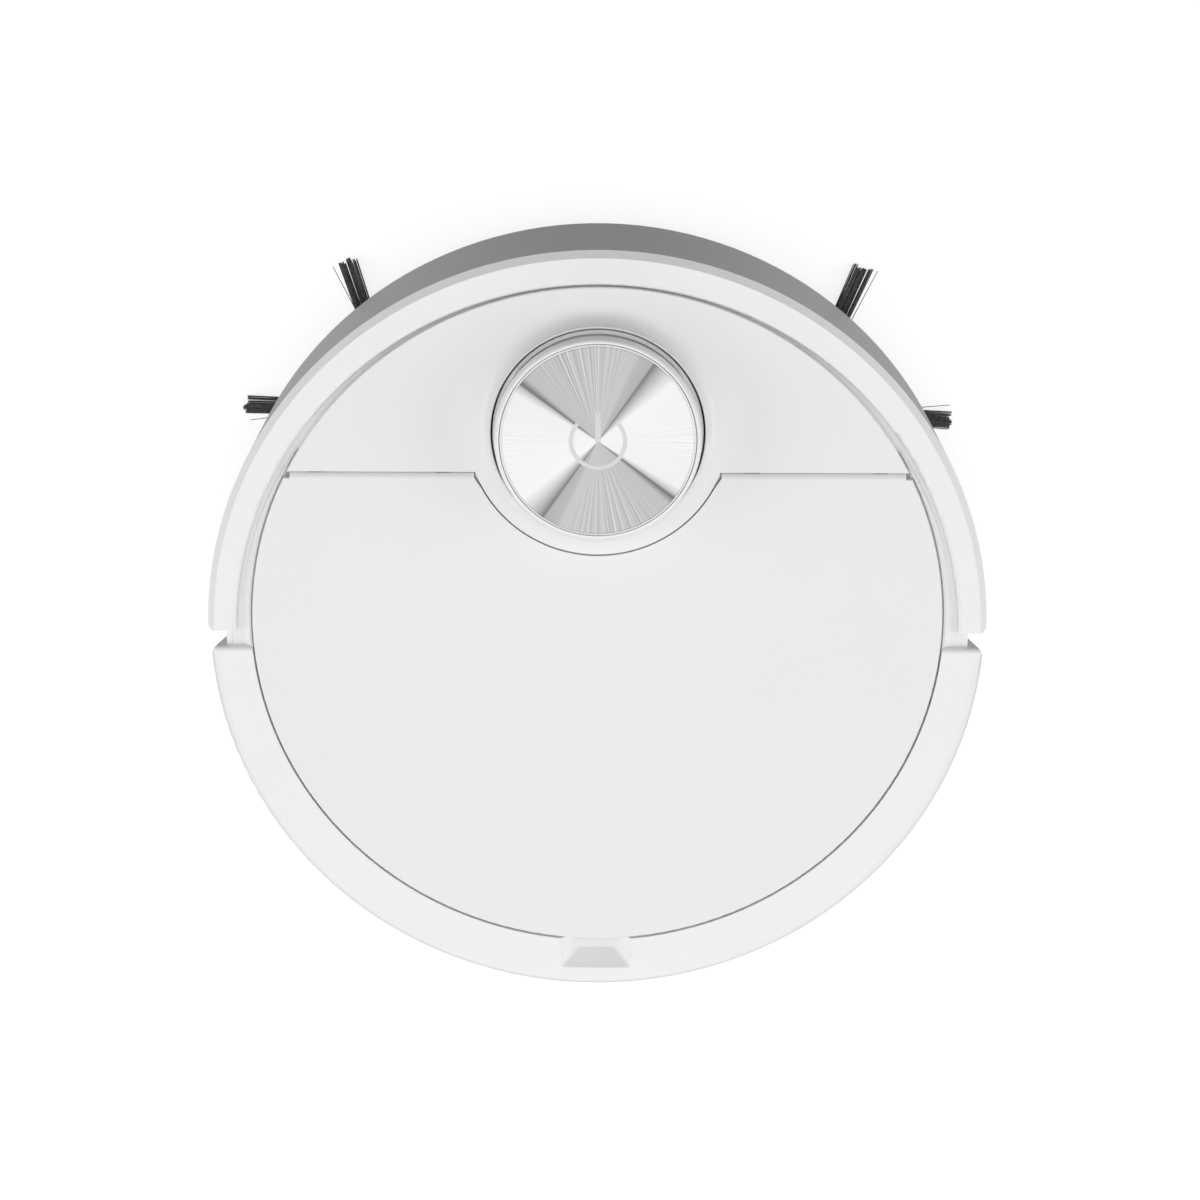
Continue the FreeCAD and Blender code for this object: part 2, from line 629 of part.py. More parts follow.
def make_main_board():
    board = box(-78, 78, -42, 46, 60.0, 61.6)
    chips = [box(-30, -6, -20, 4, 61.5, 63.5), box(20, 34, -18, -4, 61.5, 63.2),
             box(-66, -52, 10, 30, 61.5, 68.0), box(44, 68, 16, 34, 61.5, 66.5)]
    board = fuse(board, *chips)
    legs = [disc(2.6, FLOOR_Z, 60.1, x, -22) for x in (-74, 74)]
    return fuse(board, *legs)


def make_fan_blower():
    x, y = FAN
    case = disc(24, FLOOR_Z, 46, x, y).fuse(disc(14, 45, 58, x, y))
    outlet = box(x - 46, x, y + 3, y + 20, 28, 44)
    outlet = outlet.common(disc(152, 0, 100))
    return fuse(case, outlet)


def make_speaker():
    x, y = SPEAKER
    return fuse(disc(17, FLOOR_Z, 17, x, y), disc(12, 16.9, 25, x, y))


def make_brush_gearbox():
    case = box(86.0, 97.0, 4, 42, FLOOR_Z, 54)
    motor = rod(12.0, 60, 86.1, 24.0, 59.0 - 1.5)
    motor = motor.common(box(0, 97, 0, 60, 46.0, 59.8))
    drive = rod(3.9, 82.2, 86.1, ROLLER_Y, ROLLER_Z)
    case = case.fuse(motor)
    return cut(case, rod(3.0 + RUN, 80, 94, ROLLER_Y, ROLLER_Z)).fuse(
        cut(drive, rod(3.0 + RUN, 80, 94, ROLLER_Y, ROLLER_Z))).removeSplitter()


def make_duct_seal():
    x0, x1, z0, z1 = DUCT
    y0, y1 = MOUTH_Y[1] + 2.0, BIN[2]
    frame = box(x0 - 3, x1 + 3, y0, y1, z0 - 3, z1 + 1.5)
    return frame.cut(box(x0, x1, y0 - 1, y1 + 1, z0, z1 - 1.5))


# ---------------------------------------------------------------- dust bin

def make_dust_bin():
    x0, x1, y0, y1, z0, z1 = BIN
    t = 2.0
    outer = box(x0, x1, y0, y1, z0, z1 - 4)
    outer = outer.makeFillet(6, [e for e in outer.Edges if e.BoundBox.ZLength > 20])
    inner = box(x0 + t, x1 - t, y0 + t, y1 - t, z0 + t, z1)
    inner = inner.makeFillet(4, [e for e in inner.Edges if e.BoundBox.ZLength > 20])
    dx0, dx1, dz0, dz1 = DUCT
    return cut(outer, inner, box(dx0, dx1, y0 - 1, y0 + 3, dz0, dz1 - 1.5))


def make_filter_frame():
    x0, x1, y0, y1, z0, z1 = BIN
    plate = box(x0, x1, y0, y1, z1 - 4, z1)
    plate = plate.makeFillet(6, [e for e in plate.Edges if e.BoundBox.ZLength > 3 and
                                 e.BoundBox.XLength < 0.1 and e.BoundBox.YLength < 0.1])
    return plate.cut(box(-50, 50, y0 + 22, y1 - 12, 0, 100))


def make_hepa_filter():
    y0, y1, z1 = BIN[2], BIN[3], BIN[5]
    return box(-49.8, 49.8, y0 + 22.2, y1 - 12.2, z1 - 10, z1 - 0.6)


def make_bin_handle():
    y0, z1 = BIN[2], BIN[5]
    bar = box(-40, 40, y0 + 3, y0 + 19, z1, z1 + 3)
    return bar.cut(box(-34, 34, y0 + 8.5, y0 + 20, z1 - 1, z1 + 4))


# ---------------------------------------------------------------- brushes

def make_main_brush_core():
    core = rod(7.0, -ROLLER_X, ROLLER_X, ROLLER_Y, ROLLER_Z)
    stub = rod(3.0, -88, 92, ROLLER_Y, ROLLER_Z)
    return fuse(core, stub)


def make_main_brush_fins():
    """Eight rows of bristles: narrow walls that stand on the core."""
    rows = []
    for k in range(8):
        row = box(-ROLLER_X + 2, ROLLER_X - 2, ROLLER_Y - 1.4, ROLLER_Y + 1.4,
                  ROLLER_Z + 6.6, ROLLER_Z + ROLLER_R)
        row.rotate(Vector(0, ROLLER_Y, ROLLER_Z), Vector(1, 0, 0), 45 * k)
        rows.append(row)
    sleeve = rod(8.2, -ROLLER_X + 2, ROLLER_X - 2, ROLLER_Y, ROLLER_Z)
    brush = fuse(sleeve, *rows)
    return brush.cut(rod(7.0, -BIG, BIG, ROLLER_Y, ROLLER_Z)).removeSplitter()


def make_brush_guard():
    m0, m1 = MOUTH_Y
    plate = box(-93, 93, m0 - 7, m1 + 7, BASE_Z - 2.6, BASE_Z)
    plate = plate.makeFillet(5, [e for e in plate.Edges if e.BoundBox.ZLength > 2 and
                                 e.BoundBox.XLength < 0.1 and e.BoundBox.YLength < 0.1])
    return plate.cut(box(-82, 82, m0 + 1.2, m1 - 1.2, 0, 20))


def make_brush_hub(side):
    x = side * BRUSH_X
    hub = turned([(0, 5.0), (6.5, 5.0), (9.0, 6.0), (9.0, 10.6), (4.0, 10.6), (4.0, 17.6), (0, 17.6)],
                 x, BRUSH_Y)
    return hub.cut(disc(3.3, 0, 6.0, x, BRUSH_Y))


def make_brush_screw(side):
    x = side * BRUSH_X
    head = disc(3.1, 4.6, 5.98, x, BRUSH_Y)
    return cut(head, box(x - 2, x + 2, BRUSH_Y - 0.4, BRUSH_Y + 0.4, 4, 5.4),
               box(x - 0.4, x + 0.4, BRUSH_Y - 2, BRUSH_Y + 2, 4, 5.4))


def make_brush_bristles(side, first):
    """Flat tapered tufts that lean down from the hub towards the floor."""
    x = side * BRUSH_X
    tufts = []
    for k in range(BRUSH_ARMS):
        root = Part.makePolygon([Vector(-2.4, -9.02, 6.4), Vector(2.4, -9.02, 6.4),
                                 Vector(2.4, -9.02, 9.2), Vector(-2.4, -9.02, 9.2),
                                 Vector(-2.4, -9.02, 6.4)])
        tip = Part.makePolygon([Vector(-4.4, -BRUSH_REACH, 1.8), Vector(4.4, -BRUSH_REACH, 1.8),
                                Vector(4.4, -BRUSH_REACH, 3.4), Vector(-4.4, -BRUSH_REACH, 3.4),
                                Vector(-4.4, -BRUSH_REACH, 1.8)])
        tuft = Part.makeLoft([root, tip], True, True)
        tuft.rotate(Vector(0, 0, 0), UP, side * first + 360.0 / BRUSH_ARMS * k)
        tuft.translate(Vector(x, BRUSH_Y, 0))
        tufts.append(tuft)
    return Part.makeCompound(tufts)


def make_side_gearbox(side):
    x = side * BRUSH_X
    case = disc(16.5, FLOOR_Z, 34, x, BRUSH_Y)
    motor = disc(11.0, 33.9, 56, x, BRUSH_Y)
    return cut(fuse(case, motor), disc(4.0 + RUN, 0, 18.0, x, BRUSH_Y))


# ---------------------------------------------------------------- wheels

def place(shape, side):
    """Left pieces are modelled; the right ones are their mirror images."""
    return shape if side > 0 else shape.mirror(Vector(0, 0, 0), Vector(1, 0, 0))


def make_wheel_arm(side):
    py, pz = PIVOT
    x0, x1 = WELL_X[0] + 0.8, TYRE_X[0] - 0.8
    hub = rod(14.0, x0, x1, WHEEL_Y, WHEEL_R)
    knuckle_end = rod(7.0, x0, x1, py, pz)
    web = Part.Face(Part.makePolygon([
        Vector(x0, py - 1, pz - 6.8), Vector(x0, WHEEL_Y - 2, WHEEL_R - 13.6),
        Vector(x0, WHEEL_Y + 2, WHEEL_R + 13.6), Vector(x0, py + 1, pz + 6.8),
        Vector(x0, py - 1, pz - 6.8)])).extrude(Vector(x1 - x0, 0, 0))
    motor_can = rod(9.0, x0, x1 + 0.4, py + 14, pz - 2)
    arm = fuse(hub, knuckle_end, web, motor_can)
    axle = rod(AXLE_R, x1 - 1, TYRE_X[1] - 3, WHEEL_Y, WHEEL_R)
    arm = arm.cut(rod(2.0 + RUN, 0, 200, py, pz))
    return place(fuse(arm, axle), side)


def make_wheel_pivot_pins():
    py, pz = PIVOT
    return Part.makeCompound(both_sides(rod(2.0, WELL_X[0], TYRE_X[0] - 0.5, py, pz)))


def make_wheel_rim(side):
    x0, x1 = TYRE_X
    rim = rod(RIM_R, x0, x1, WHEEL_Y, WHEEL_R)
    rim = rim.cut(rod(RIM_R - 3, x1 - 5, x1 + 1, WHEEL_Y, WHEEL_R).cut(
        rod(8.0, x1 - 6, x1 + 2, WHEEL_Y, WHEEL_R)))
    return place(rim.cut(rod(AXLE_R + RUN, x0 - 1, x1 - 2.5, WHEEL_Y, WHEEL_R)), side)


def make_tyre(side):
    x0, x1 = TYRE_X
    tyre = rod(WHEEL_R, x0, x1, WHEEL_Y, WHEEL_R)
    edges = [e for e in tyre.Edges if e.BoundBox.XLength < 0.1]
    tyre = tyre.makeFillet(2.0, edges)
    return place(tyre.cut(rod(RIM_R, x0 - 1, x1 + 1, WHEEL_Y, WHEEL_R)), side)


def make_wheel_springs():
    x = (WELL_X[0] + TYRE_X[0]) / 2
    return Part.makeCompound(both_sides(ring(1.2, 2.2, 48.6, WELL_TOP - 0.1, x, WHEEL_Y)))


# ---------------------------------------------------------------- caster

def make_caster_fork():
    z = CASTER_R
    axle_y = CASTER_Y + CASTER_TRAIL
    cup = disc(FORK_R, 11.0, 31.0, 0, CASTER_Y)
    room = box(-7.6, 7.6, axle_y - CASTER_R - 0.8, axle_y + CASTER_R + 3, 0, 27.6)
    cheeks = box(-11.5, 11.5, axle_y - 5, axle_y + 5, 8.5, 14)
    cheeks = cheeks.cut(box(-7.6, 7.6, axle_y - 6, axle_y + 6, 0, 20))
    stem = disc(4.0, 30.9, 44.0, 0, CASTER_Y)
    return fuse(cup, stem, cheeks).cut(room).cut(rod(1.5, -20, 20, axle_y, z)).removeSplitter()


def make_caster_axle():
    return rod(1.48, -12.0, 12.0, CASTER_Y + CASTER_TRAIL, CASTER_R)


def make_caster_wheel():
    y, z = CASTER_Y + CASTER_TRAIL, CASTER_R
    wheel = rod(CASTER_R, -7.0, 7.0, y, z)
    wheel = wheel.makeFillet(2.0, [e for e in wheel.Edges if e.BoundBox.XLength < 0.1])
    return wheel.cut(rod(1.48 + RUN, -20, 20, y, z))


def make_bushings():
    """The bush that the caster's stem turns in and the one at the roller's free end."""
    caster_bush = ring(4.0 + RUN, 6.0, 34.0, 45.0, 0, CASTER_Y)
    roller_bush = rod(3.95, -86.8, -82.2, ROLLER_Y, ROLLER_Z)
    return Part.makeCompound([
        caster_bush, roller_bush.cut(rod(3.0 + RUN, -90, -80, ROLLER_Y, ROLLER_Z))])


# ---------------------------------------------------------------- bumper parts

def make_bumper_springs():
    springs = []
    for angle in (-22, 22):
        coil = Part.makeCylinder(2.6, 4.1, Vector(0, -157.6, 44), Vector(0, -1, 0))
        coil = coil.cut(Part.makeCylinder(1.8, 6, Vector(0, -157, 44), Vector(0, -1, 0)))
        springs.append(turn(coil, angle))
    return Part.makeCompound(springs)


def make_micro_switches():
    """The switch under the power button and the two that the bumper presses."""
    switches = [power_switch()]
    for angle in (-38, 38):
        case = box(-6, 6, -154.6, -147.6, 38, 48)
        switches.append(turn(case, angle))
    return Part.makeCompound(switches)


SCREWS = [(side * x, y) for side in (1, -1)
          for x, y in ((80.0, -122.0), (144.0, 26.0), (92.0, 112.0))]
TRAY_LEGS = [(x, y) for x in (-64.0, 64.0) for y in (-116.0, -51.0)]
SENSOR_ANGLES = (-24, 24, -68, 68)
GRILLE_AT = 143.0
FAN = (-90.0, 83.0)
SPEAKER = (92.0, 79.0)

save("chassis", make_chassis())
save("body_shell", make_body_shell())
save("top_cover", make_top_cover())
save("dust_lid", make_dust_lid())
save("lid_hinge_pins", make_hinge_pins())
save("bumper", make_bumper())
save("bumper_springs", make_bumper_springs())
save("micro_switches", make_micro_switches())
save("deck_frame", make_deck_frame())
save("bin_tray", make_bin_tray())
save("turret_cap", make_turret_cap())
save("power_button", make_power_button())
save("button_inlay", make_button_inlay())
save("button_spring", make_button_spring())
save("lidar_base", make_lidar_base())
save("lidar_motor", make_lidar_motor())
save("lidar_pulley", make_lidar_pulley())
save("lidar_belt", make_lidar_belt())
save("lidar_bearing", make_lidar_bearing())
save("lidar_rotor", make_lidar_rotor())
save("lidar_lenses", make_lidar_lenses())
save("battery_pack", make_battery_pack())
save("battery_cover", make_battery_cover())
save("main_board", make_main_board())
save("fan_blower", make_fan_blower())
save("speaker", make_speaker())
save("brush_gearbox", make_brush_gearbox())
save("duct_seal", make_duct_seal())
save("dust_bin", make_dust_bin())
save("filter_frame", make_filter_frame())
save("hepa_filter", make_hepa_filter())
save("bin_handle", make_bin_handle())
save("exhaust_grille", make_exhaust_grille())
save("charging_contacts", make_charging_contacts())
save("cliff_sensors", make_cliff_sensors())
save("chassis_screws", make_chassis_screws())
save("brush_guard", make_brush_guard())
save("main_brush_core", make_main_brush_core())
save("main_brush_fins", make_main_brush_fins())
save("caster_fork", make_caster_fork())
save("caster_axle", make_caster_axle())
save("caster_wheel", make_caster_wheel())
save("bushings", make_bushings())
save("wheel_springs", make_wheel_springs())
save("wheel_housings", make_wheel_housings())
save("wheel_pivot_pins", make_wheel_pivot_pins())
for word, side, first in (("left", 1, LEFT_BRUSH_TURN), ("right", -1, RIGHT_BRUSH_TURN)):
    save(word + "_brush_hub", make_brush_hub(side))
    save(word + "_brush_screw", make_brush_screw(side))
    save(word + "_brush_bristles", make_brush_bristles(side, first))
    save(word + "_brush_gearbox", make_side_gearbox(side))
    save(word + "_wheel_arm", make_wheel_arm(side))
    save(word + "_wheel_rim", make_wheel_rim(side))
    save(word + "_tyre", make_tyre(side))
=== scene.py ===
import math
import random

import bmesh
import bpy
from mathutils import Matrix, Vector


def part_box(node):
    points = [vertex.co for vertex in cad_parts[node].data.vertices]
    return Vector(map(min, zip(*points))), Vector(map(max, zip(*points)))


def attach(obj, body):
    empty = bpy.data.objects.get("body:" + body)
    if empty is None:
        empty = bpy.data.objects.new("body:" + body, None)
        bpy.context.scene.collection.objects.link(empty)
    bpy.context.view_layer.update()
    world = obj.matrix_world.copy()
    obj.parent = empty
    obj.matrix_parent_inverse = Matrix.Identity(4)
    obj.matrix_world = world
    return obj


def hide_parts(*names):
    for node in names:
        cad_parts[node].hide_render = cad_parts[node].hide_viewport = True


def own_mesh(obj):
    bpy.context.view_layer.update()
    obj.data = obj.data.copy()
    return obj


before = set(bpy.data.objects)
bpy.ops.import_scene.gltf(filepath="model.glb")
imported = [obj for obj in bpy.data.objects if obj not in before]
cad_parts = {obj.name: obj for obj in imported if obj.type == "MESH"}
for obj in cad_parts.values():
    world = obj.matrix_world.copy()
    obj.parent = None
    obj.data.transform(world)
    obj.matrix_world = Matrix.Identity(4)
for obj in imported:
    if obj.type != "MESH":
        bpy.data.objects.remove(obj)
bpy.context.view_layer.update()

bpy.context.scene.view_settings.view_transform = "Standard"

# ------------------------------------------------------------------ the room
# A pale seamless floor under soft panels: one large panel overhead, one low
# behind the robot, and one on each side. Nothing bright stands in front of it.

floor_size = 60.0
floor_glow = 0.80
air_light = 0.18
floor_tone = (0.28, 0.28, 0.28, 1.0)

bm = bmesh.new()
bmesh.ops.create_grid(bm, x_segments=1, y_segments=1, size=floor_size / 2)
floor_mesh = bpy.data.meshes.new("studio_floor")
bm.to_mesh(floor_mesh)
bm.free()
floor = bpy.data.objects.new("studio_floor", floor_mesh)
bpy.context.scene.collection.objects.link(floor)
floor.visible_diffuse = False
floor.visible_glossy = False
floor_paint = bpy.data.materials.new("studio_floor_paint")
floor_paint.use_nodes = True
floor_shader = floor_paint.node_tree.nodes["Principled BSDF"]
floor_shader.inputs["Base Color"].default_value = floor_tone
floor_shader.inputs["Roughness"].default_value = 0.9
floor_shader.inputs["Emission Color"].default_value = (1.0, 1.0, 1.0, 1.0)
floor_shader.inputs["Emission Strength"].default_value = floor_glow
floor_mesh.materials.append(floor_paint)


def light_panel(name, place, aim, size, power):
    """A soft square panel at place that faces aim."""
    lamp = bpy.data.lights.new(name, "AREA")
    lamp.shape = "RECTANGLE"
    lamp.size, lamp.size_y = size
    lamp.energy = power
    panel = bpy.data.objects.new(name, lamp)
    bpy.context.scene.collection.objects.link(panel)
    turn = (Vector(aim) - Vector(place)).to_track_quat("-Z", "Y")
    panel.matrix_world = Matrix.LocRotScale(Vector(place), turn, None)
    return panel


light_panel("overhead_panel", (0.0, 0.15, 2.3), (0.0, 0.15, 0.0), (3.4, 3.4), 45.0)
light_panel("rear_panel", (0.0, 2.3, 1.1), (0.0, 0.0, 0.05), (2.6, 1.0), 13.0)
light_panel("left_panel", (2.2, 0.1, 0.9), (0.0, 0.0, 0.05), (1.8, 1.2), 20.0)
light_panel("right_panel", (-2.2, 0.1, 0.9), (0.0, 0.0, 0.05), (1.8, 1.2), 20.0)

world = bpy.data.worlds.new("studio_air")
world.use_nodes = True
world.node_tree.nodes["Background"].inputs["Color"].default_value = (1.0, 1.0, 1.0, 1.0)
world.node_tree.nodes["Background"].inputs["Strength"].default_value = air_light
bpy.context.scene.world = world

# ------------------------------------------------------------------ the camera
# It stands over the robot's front and looks down steeply, turned so that the
# front points up in the picture.

view_distance = 1.1
view_height = math.radians(71.57)
view_roll = math.radians(0.2)
camera_data = bpy.data.cameras.new("camera")
camera_data.lens = 72.8
camera_data.sensor_width = 36.0
camera_data.shift_x = 0.0021
camera_data.shift_y = -0.0164
camera = bpy.data.objects.new("camera", camera_data)
bpy.context.scene.collection.objects.link(camera)
look = Vector((0, math.cos(view_height), -math.sin(view_height)))
up = Vector((0, -math.sin(view_height), -math.cos(view_height)))
right = look.cross(up)
turned = Matrix((right, up, -look)).transposed().to_4x4()
camera.matrix_world = (Matrix.Translation(-look * view_distance) @ turned
                       @ Matrix.Rotation(view_roll, 4, "Z"))
bpy.context.scene.camera = camera

# ------------------------------------------------------------------ white shells
# Bumper, rear body, turret cap, button frame and the inner deck are moulded in
# white ABS with a fine spark-eroded grain, so they are satin and not glossy.


class Finish:
    """A material with its Principled shader, and short ways to add nodes to it."""

    def __init__(self, name, color, roughness, **constants):
        self.material = bpy.data.materials.new(name)
        self.material.use_nodes = True
        self.tree = self.material.node_tree
        self.shader = self.tree.nodes["Principled BSDF"]
        self.shader.inputs["Base Color"].default_value = (*color, 1.0)
        self.shader.inputs["Roughness"].default_value = roughness
        for socket, value in constants.items():
            self.shader.inputs[socket.replace("_", " ")].default_value = value
        self.place = self.add("ShaderNodeTexCoord").outputs["Object"]

    def add(self, kind, inputs=None, **settings):
        node = self.tree.nodes.new(kind)
        for key, value in settings.items():
            setattr(node, key, value)
        for key, value in (inputs or {}).items():
            if isinstance(value, bpy.types.NodeSocket):
                self.tree.links.new(value, node.inputs[key])
            else:
                node.inputs[key].default_value = value
        return node

    def noise(self, scale, detail=3.0, place=None):
        node = self.add("ShaderNodeTexNoise", {"Vector": place or self.place, "Scale": scale,
                                               "Detail": detail})
        return node.outputs["Fac"]

    def spread(self, value, low, high):
        """value, from its usual 0.3 to 0.7, brought to low to high."""
        node = self.add("ShaderNodeMapRange", {"Value": value, "From Min": 0.3, "From Max": 0.7,
                                               "To Min": low, "To Max": high})
        return node.outputs["Result"]

    def blend(self, amount, first, second):
        node = self.add("ShaderNodeMix", {"Factor": amount}, data_type="RGBA")
        for socket, color in ((node.inputs[6], first), (node.inputs[7], second)):
            if isinstance(color, bpy.types.NodeSocket):
                self.tree.links.new(color, socket)
            else:
                socket.default_value = (*color, 1.0)
        return node.outputs[2]

    def to(self, socket, value):
        self.tree.links.new(value, self.shader.inputs[socket])

    def relief(self, height, distance, strength=1.0):
        node = self.add("ShaderNodeBump", {"Height": height, "Distance": distance,
                                           "Strength": strength})
        self.to("Normal", node.outputs["Normal"])


def moulded(name, light, dark, roughness, grain_size, grain_depth, **constants):
    """Moulded plastic: faint flow marks, a fine grain and uneven gloss."""
    finish = Finish(name, light, roughness, **constants)
    flow = finish.spread(finish.noise(9.0), 0.0, 1.0)
    finish.to("Base Color", finish.blend(flow, dark, light))
    gloss = finish.noise(60.0, 4.0)
    finish.to("Roughness", finish.spread(gloss, roughness - 0.04, roughness + 0.05))
    finish.relief(finish.noise(1.0 / grain_size, 2.0), grain_depth)
    return finish.material


def wear(material, *nodes):
    """Gives CAD nodes a material through their slots."""
    for node in nodes:
        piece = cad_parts[node]
        piece.data.materials.clear()
        piece.data.materials.append(material)


shell_white = moulded("white_shell_plastic", (0.86, 0.86, 0.865), (0.845, 0.845, 0.85), 0.42,
                      0.0006, 0.00001, Specular_IOR_Level=0.45)
wear(shell_white, "body_shell", "deck_frame", "bin_tray", "bumper", "turret_cap", "power_button")

# ------------------------------------------------------------------ lid and cover
# The hinged dust lid and the fixed front cover are one smooth moulding tone,
# a little brighter than the shell round them.

lid_white = moulded("white_lid_plastic", (0.82, 0.82, 0.825), (0.81, 0.81, 0.815), 0.36,
                    0.0009, 0.000006, Specular_IOR_Level=0.5)
wear(lid_white, "top_cover", "dust_lid")

# ------------------------------------------------------------------ button disc
# The power button is faced with a thin disc of spun aluminium, pressed into its
# white frame. The light off its turning marks is painted into its colour as four
# sectors, two pale and two grey, with painted radial highlight streaks, and a power mark stands
# slightly proud in the middle.

disc_low, disc_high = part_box("button_inlay")
disc_centre = (disc_low + disc_high) / 2
disc_radius = (disc_high.x - disc_low.x) / 2
disc_top = disc_high.z - 0.0001


def turned_solid(bm, profile, steps, place, turn=2 * math.pi):
    """Spins (radius, height) points round the upright axis and moves them to place."""
    before = set(bm.verts)
    spots = [bm.verts.new((radius, 0.0, height)) for radius, height in profile]
    ends = [] if profile[0][0] == profile[-1][0] == 0 else [(spots[-1], spots[0])]
    edges = [bm.edges.new(pair) for pair in list(zip(spots, spots[1:])) + ends]
    full = turn >= 2 * math.pi
    if full:
        bmesh.ops.spin(bm, geom=spots + edges, cent=(0, 0, 0), axis=(0, 0, 1), angle=turn,
                       steps=steps, use_merge=True)
    else:
        face = bm.faces.new(spots)
        bmesh.ops.spin(bm, geom=[face], cent=(0, 0, 0), axis=(0, 0, 1), angle=turn, steps=steps)
    fresh = [vert for vert in bm.verts if vert not in before]
    bmesh.ops.transform(bm, matrix=place, verts=fresh)
    return fresh


def block(bm, size, place, edge=0.0):
    """A box of a size, set down at place, with its edges rounded."""
    made = bmesh.ops.create_cube(bm, size=1.0, matrix=place @ Matrix.Diagonal((*size, 1.0)))
    if edge:
        rims = {rim for vert in made["verts"] for rim in vert.link_edges}
        bmesh.ops.bevel(bm, geom=list(rims), offset=edge, segments=2, profile=0.5, material=-1,
                        affect="EDGES")


def finished(name, bm, material, body, instead_of=(), crease=35.0):
    """Makes a bmesh into a piece that rides on a body and stands for CAD nodes."""
    bmesh.ops.remove_doubles(bm, verts=bm.verts, dist=0.000001)
    bmesh.ops.recalc_face_normals(bm, faces=bm.faces)
    mesh = bpy.data.meshes.new(name)
    bm.to_mesh(mesh)
    bm.free()
    mesh.materials.append(material)
    mesh.shade_smooth()
    mesh.set_sharp_from_angle(angle=math.radians(crease))
    piece = bpy.data.objects.new(name, mesh)
    bpy.context.scene.collection.objects.link(piece)
    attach(piece, body)
    if instead_of:
        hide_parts(*instead_of)
    return piece


def fill_ramp(ramp, tones, cool=1.0):
    """Sets a colour ramp to grey tones at places from 0 to 1, with blue raised by cool."""
    stops = ramp.color_ramp.elements
    while len(stops) < len(tones):
        stops.new(0.5)
    for stop, (place, tone) in zip(stops, tones):
        stop.position = place
        stop.color = (tone, tone, tone * cool, 1.0)


def spun_disc_painted_reflection():
    """Painted reflection in the base colour: two pale and two grey sectors, with painted radial
    highlight streaks that are strongest in the grey ones.
    """
    finish = Finish("spun_disc_painted_reflection", (0.85, 0.85, 0.86), 0.34, Metallic=0.15,
                    Specular_IOR_Level=0.5)
    centred = finish.add("ShaderNodeMapping", {
        "Vector": finish.place, "Location": (0.0, -disc_centre.y, 0.0)}).outputs["Vector"]
    around = finish.add("ShaderNodeTexGradient", {"Vector": centred},
                        gradient_type="RADIAL").outputs["Fac"]
    doubled = finish.add("ShaderNodeMath", {0: around, 1: 2.0}, operation="MULTIPLY")
    half_turn = finish.add("ShaderNodeMath", {0: doubled.outputs[0]},
                           operation="FRACT").outputs[0]
    # Painted reflection: two pale and two grey sectors by angle round the disc, with thin dark
    # painted lines at two sector edges, standing in for the spun metal's highlight fans.
    sectors = finish.add("ShaderNodeValToRGB", {"Fac": half_turn})
    tones = [(0.0, 0.86), (0.215, 0.88), (0.250, 0.66), (0.286, 0.38), (0.3045, 0.17),
             (0.312, 0.42), (0.355, 0.46), (0.375, 0.55), (0.55, 0.54), (0.765, 0.50),
             (0.7925, 0.13), (0.803, 0.52), (0.83, 0.84), (1.0, 0.86)]
    fill_ramp(sectors, tones, cool=1.006)
    # Painted highlight streaks: radial lines that lighten and darken the colour, strongest in the
    # grey sectors.
    painted_streak_depth = finish.add("ShaderNodeValToRGB", {"Fac": half_turn})
    steps = [(0.0, 0.22), (0.08, 0.10), (0.20, 0.0), (0.37, 0.0), (0.47, 0.7), (0.56, 1.0),
             (0.64, 0.8), (0.74, 0.15), (0.80, 0.0), (0.93, 0.04), (0.97, 0.20), (1.0, 0.22)]
    fill_ramp(painted_streak_depth, steps)
    coarse = finish.add("ShaderNodeTexNoise", {"W": around, "Scale": 230.0, "Detail": 0.0},
                        noise_dimensions="1D").outputs["Fac"]
    rays = 150
    ray_phase = finish.add("ShaderNodeMath", {0: around, 1: 2 * math.pi * rays},
                           operation="MULTIPLY")
    ray = finish.add("ShaderNodeMath", {0: ray_phase.outputs[0]}, operation="SINE").outputs[0]
    uneven = finish.spread(coarse, -0.20, 0.20)
    regular = finish.add("ShaderNodeMath", {0: ray, 1: 0.12}, operation="MULTIPLY").outputs[0]
    marks = finish.add("ShaderNodeMath", {0: regular, 1: uneven}, operation="ADD").outputs[0]
    depth = finish.add("ShaderNodeMath", {0: marks, 1: painted_streak_depth.outputs["Color"]},
                       operation="MULTIPLY").outputs[0]
    painted_streak_gain = finish.add("ShaderNodeMath", {0: depth, 1: 1.0}, operation="ADD").outputs[0]
    # Sector tones times the painted streaks: the painted reflection goes into the base colour.
    painted_reflection_colour = finish.add("ShaderNodeVectorMath", {0: sectors.outputs["Color"]},
                       operation="SCALE")
    finish.tree.links.new(painted_streak_gain, painted_reflection_colour.inputs["Scale"])
    finish.to("Base Color", painted_reflection_colour.outputs["Vector"])
    fine = finish.add("ShaderNodeTexNoise", {"W": around, "Scale": 420.0, "Detail": 1.0},
                      noise_dimensions="1D").outputs["Fac"]
    finish.to("Roughness", finish.spread(fine, 0.30, 0.42))
    finish.relief(fine, 0.000004, 0.5)
    return finish.material


bm = bmesh.new()
turned_solid(bm, [(0.0, disc_top), (disc_radius - 0.0006, disc_top),
                  (disc_radius - 0.0002, disc_top - 0.0001), (disc_radius, disc_top - 0.0003),
                  (0.0, disc_top - 0.0003)], 160, Matrix.Translation((0, disc_centre.y, 0)))
finished("button_disc", bm, spun_disc_painted_reflection(), "power_key", ["button_inlay"])

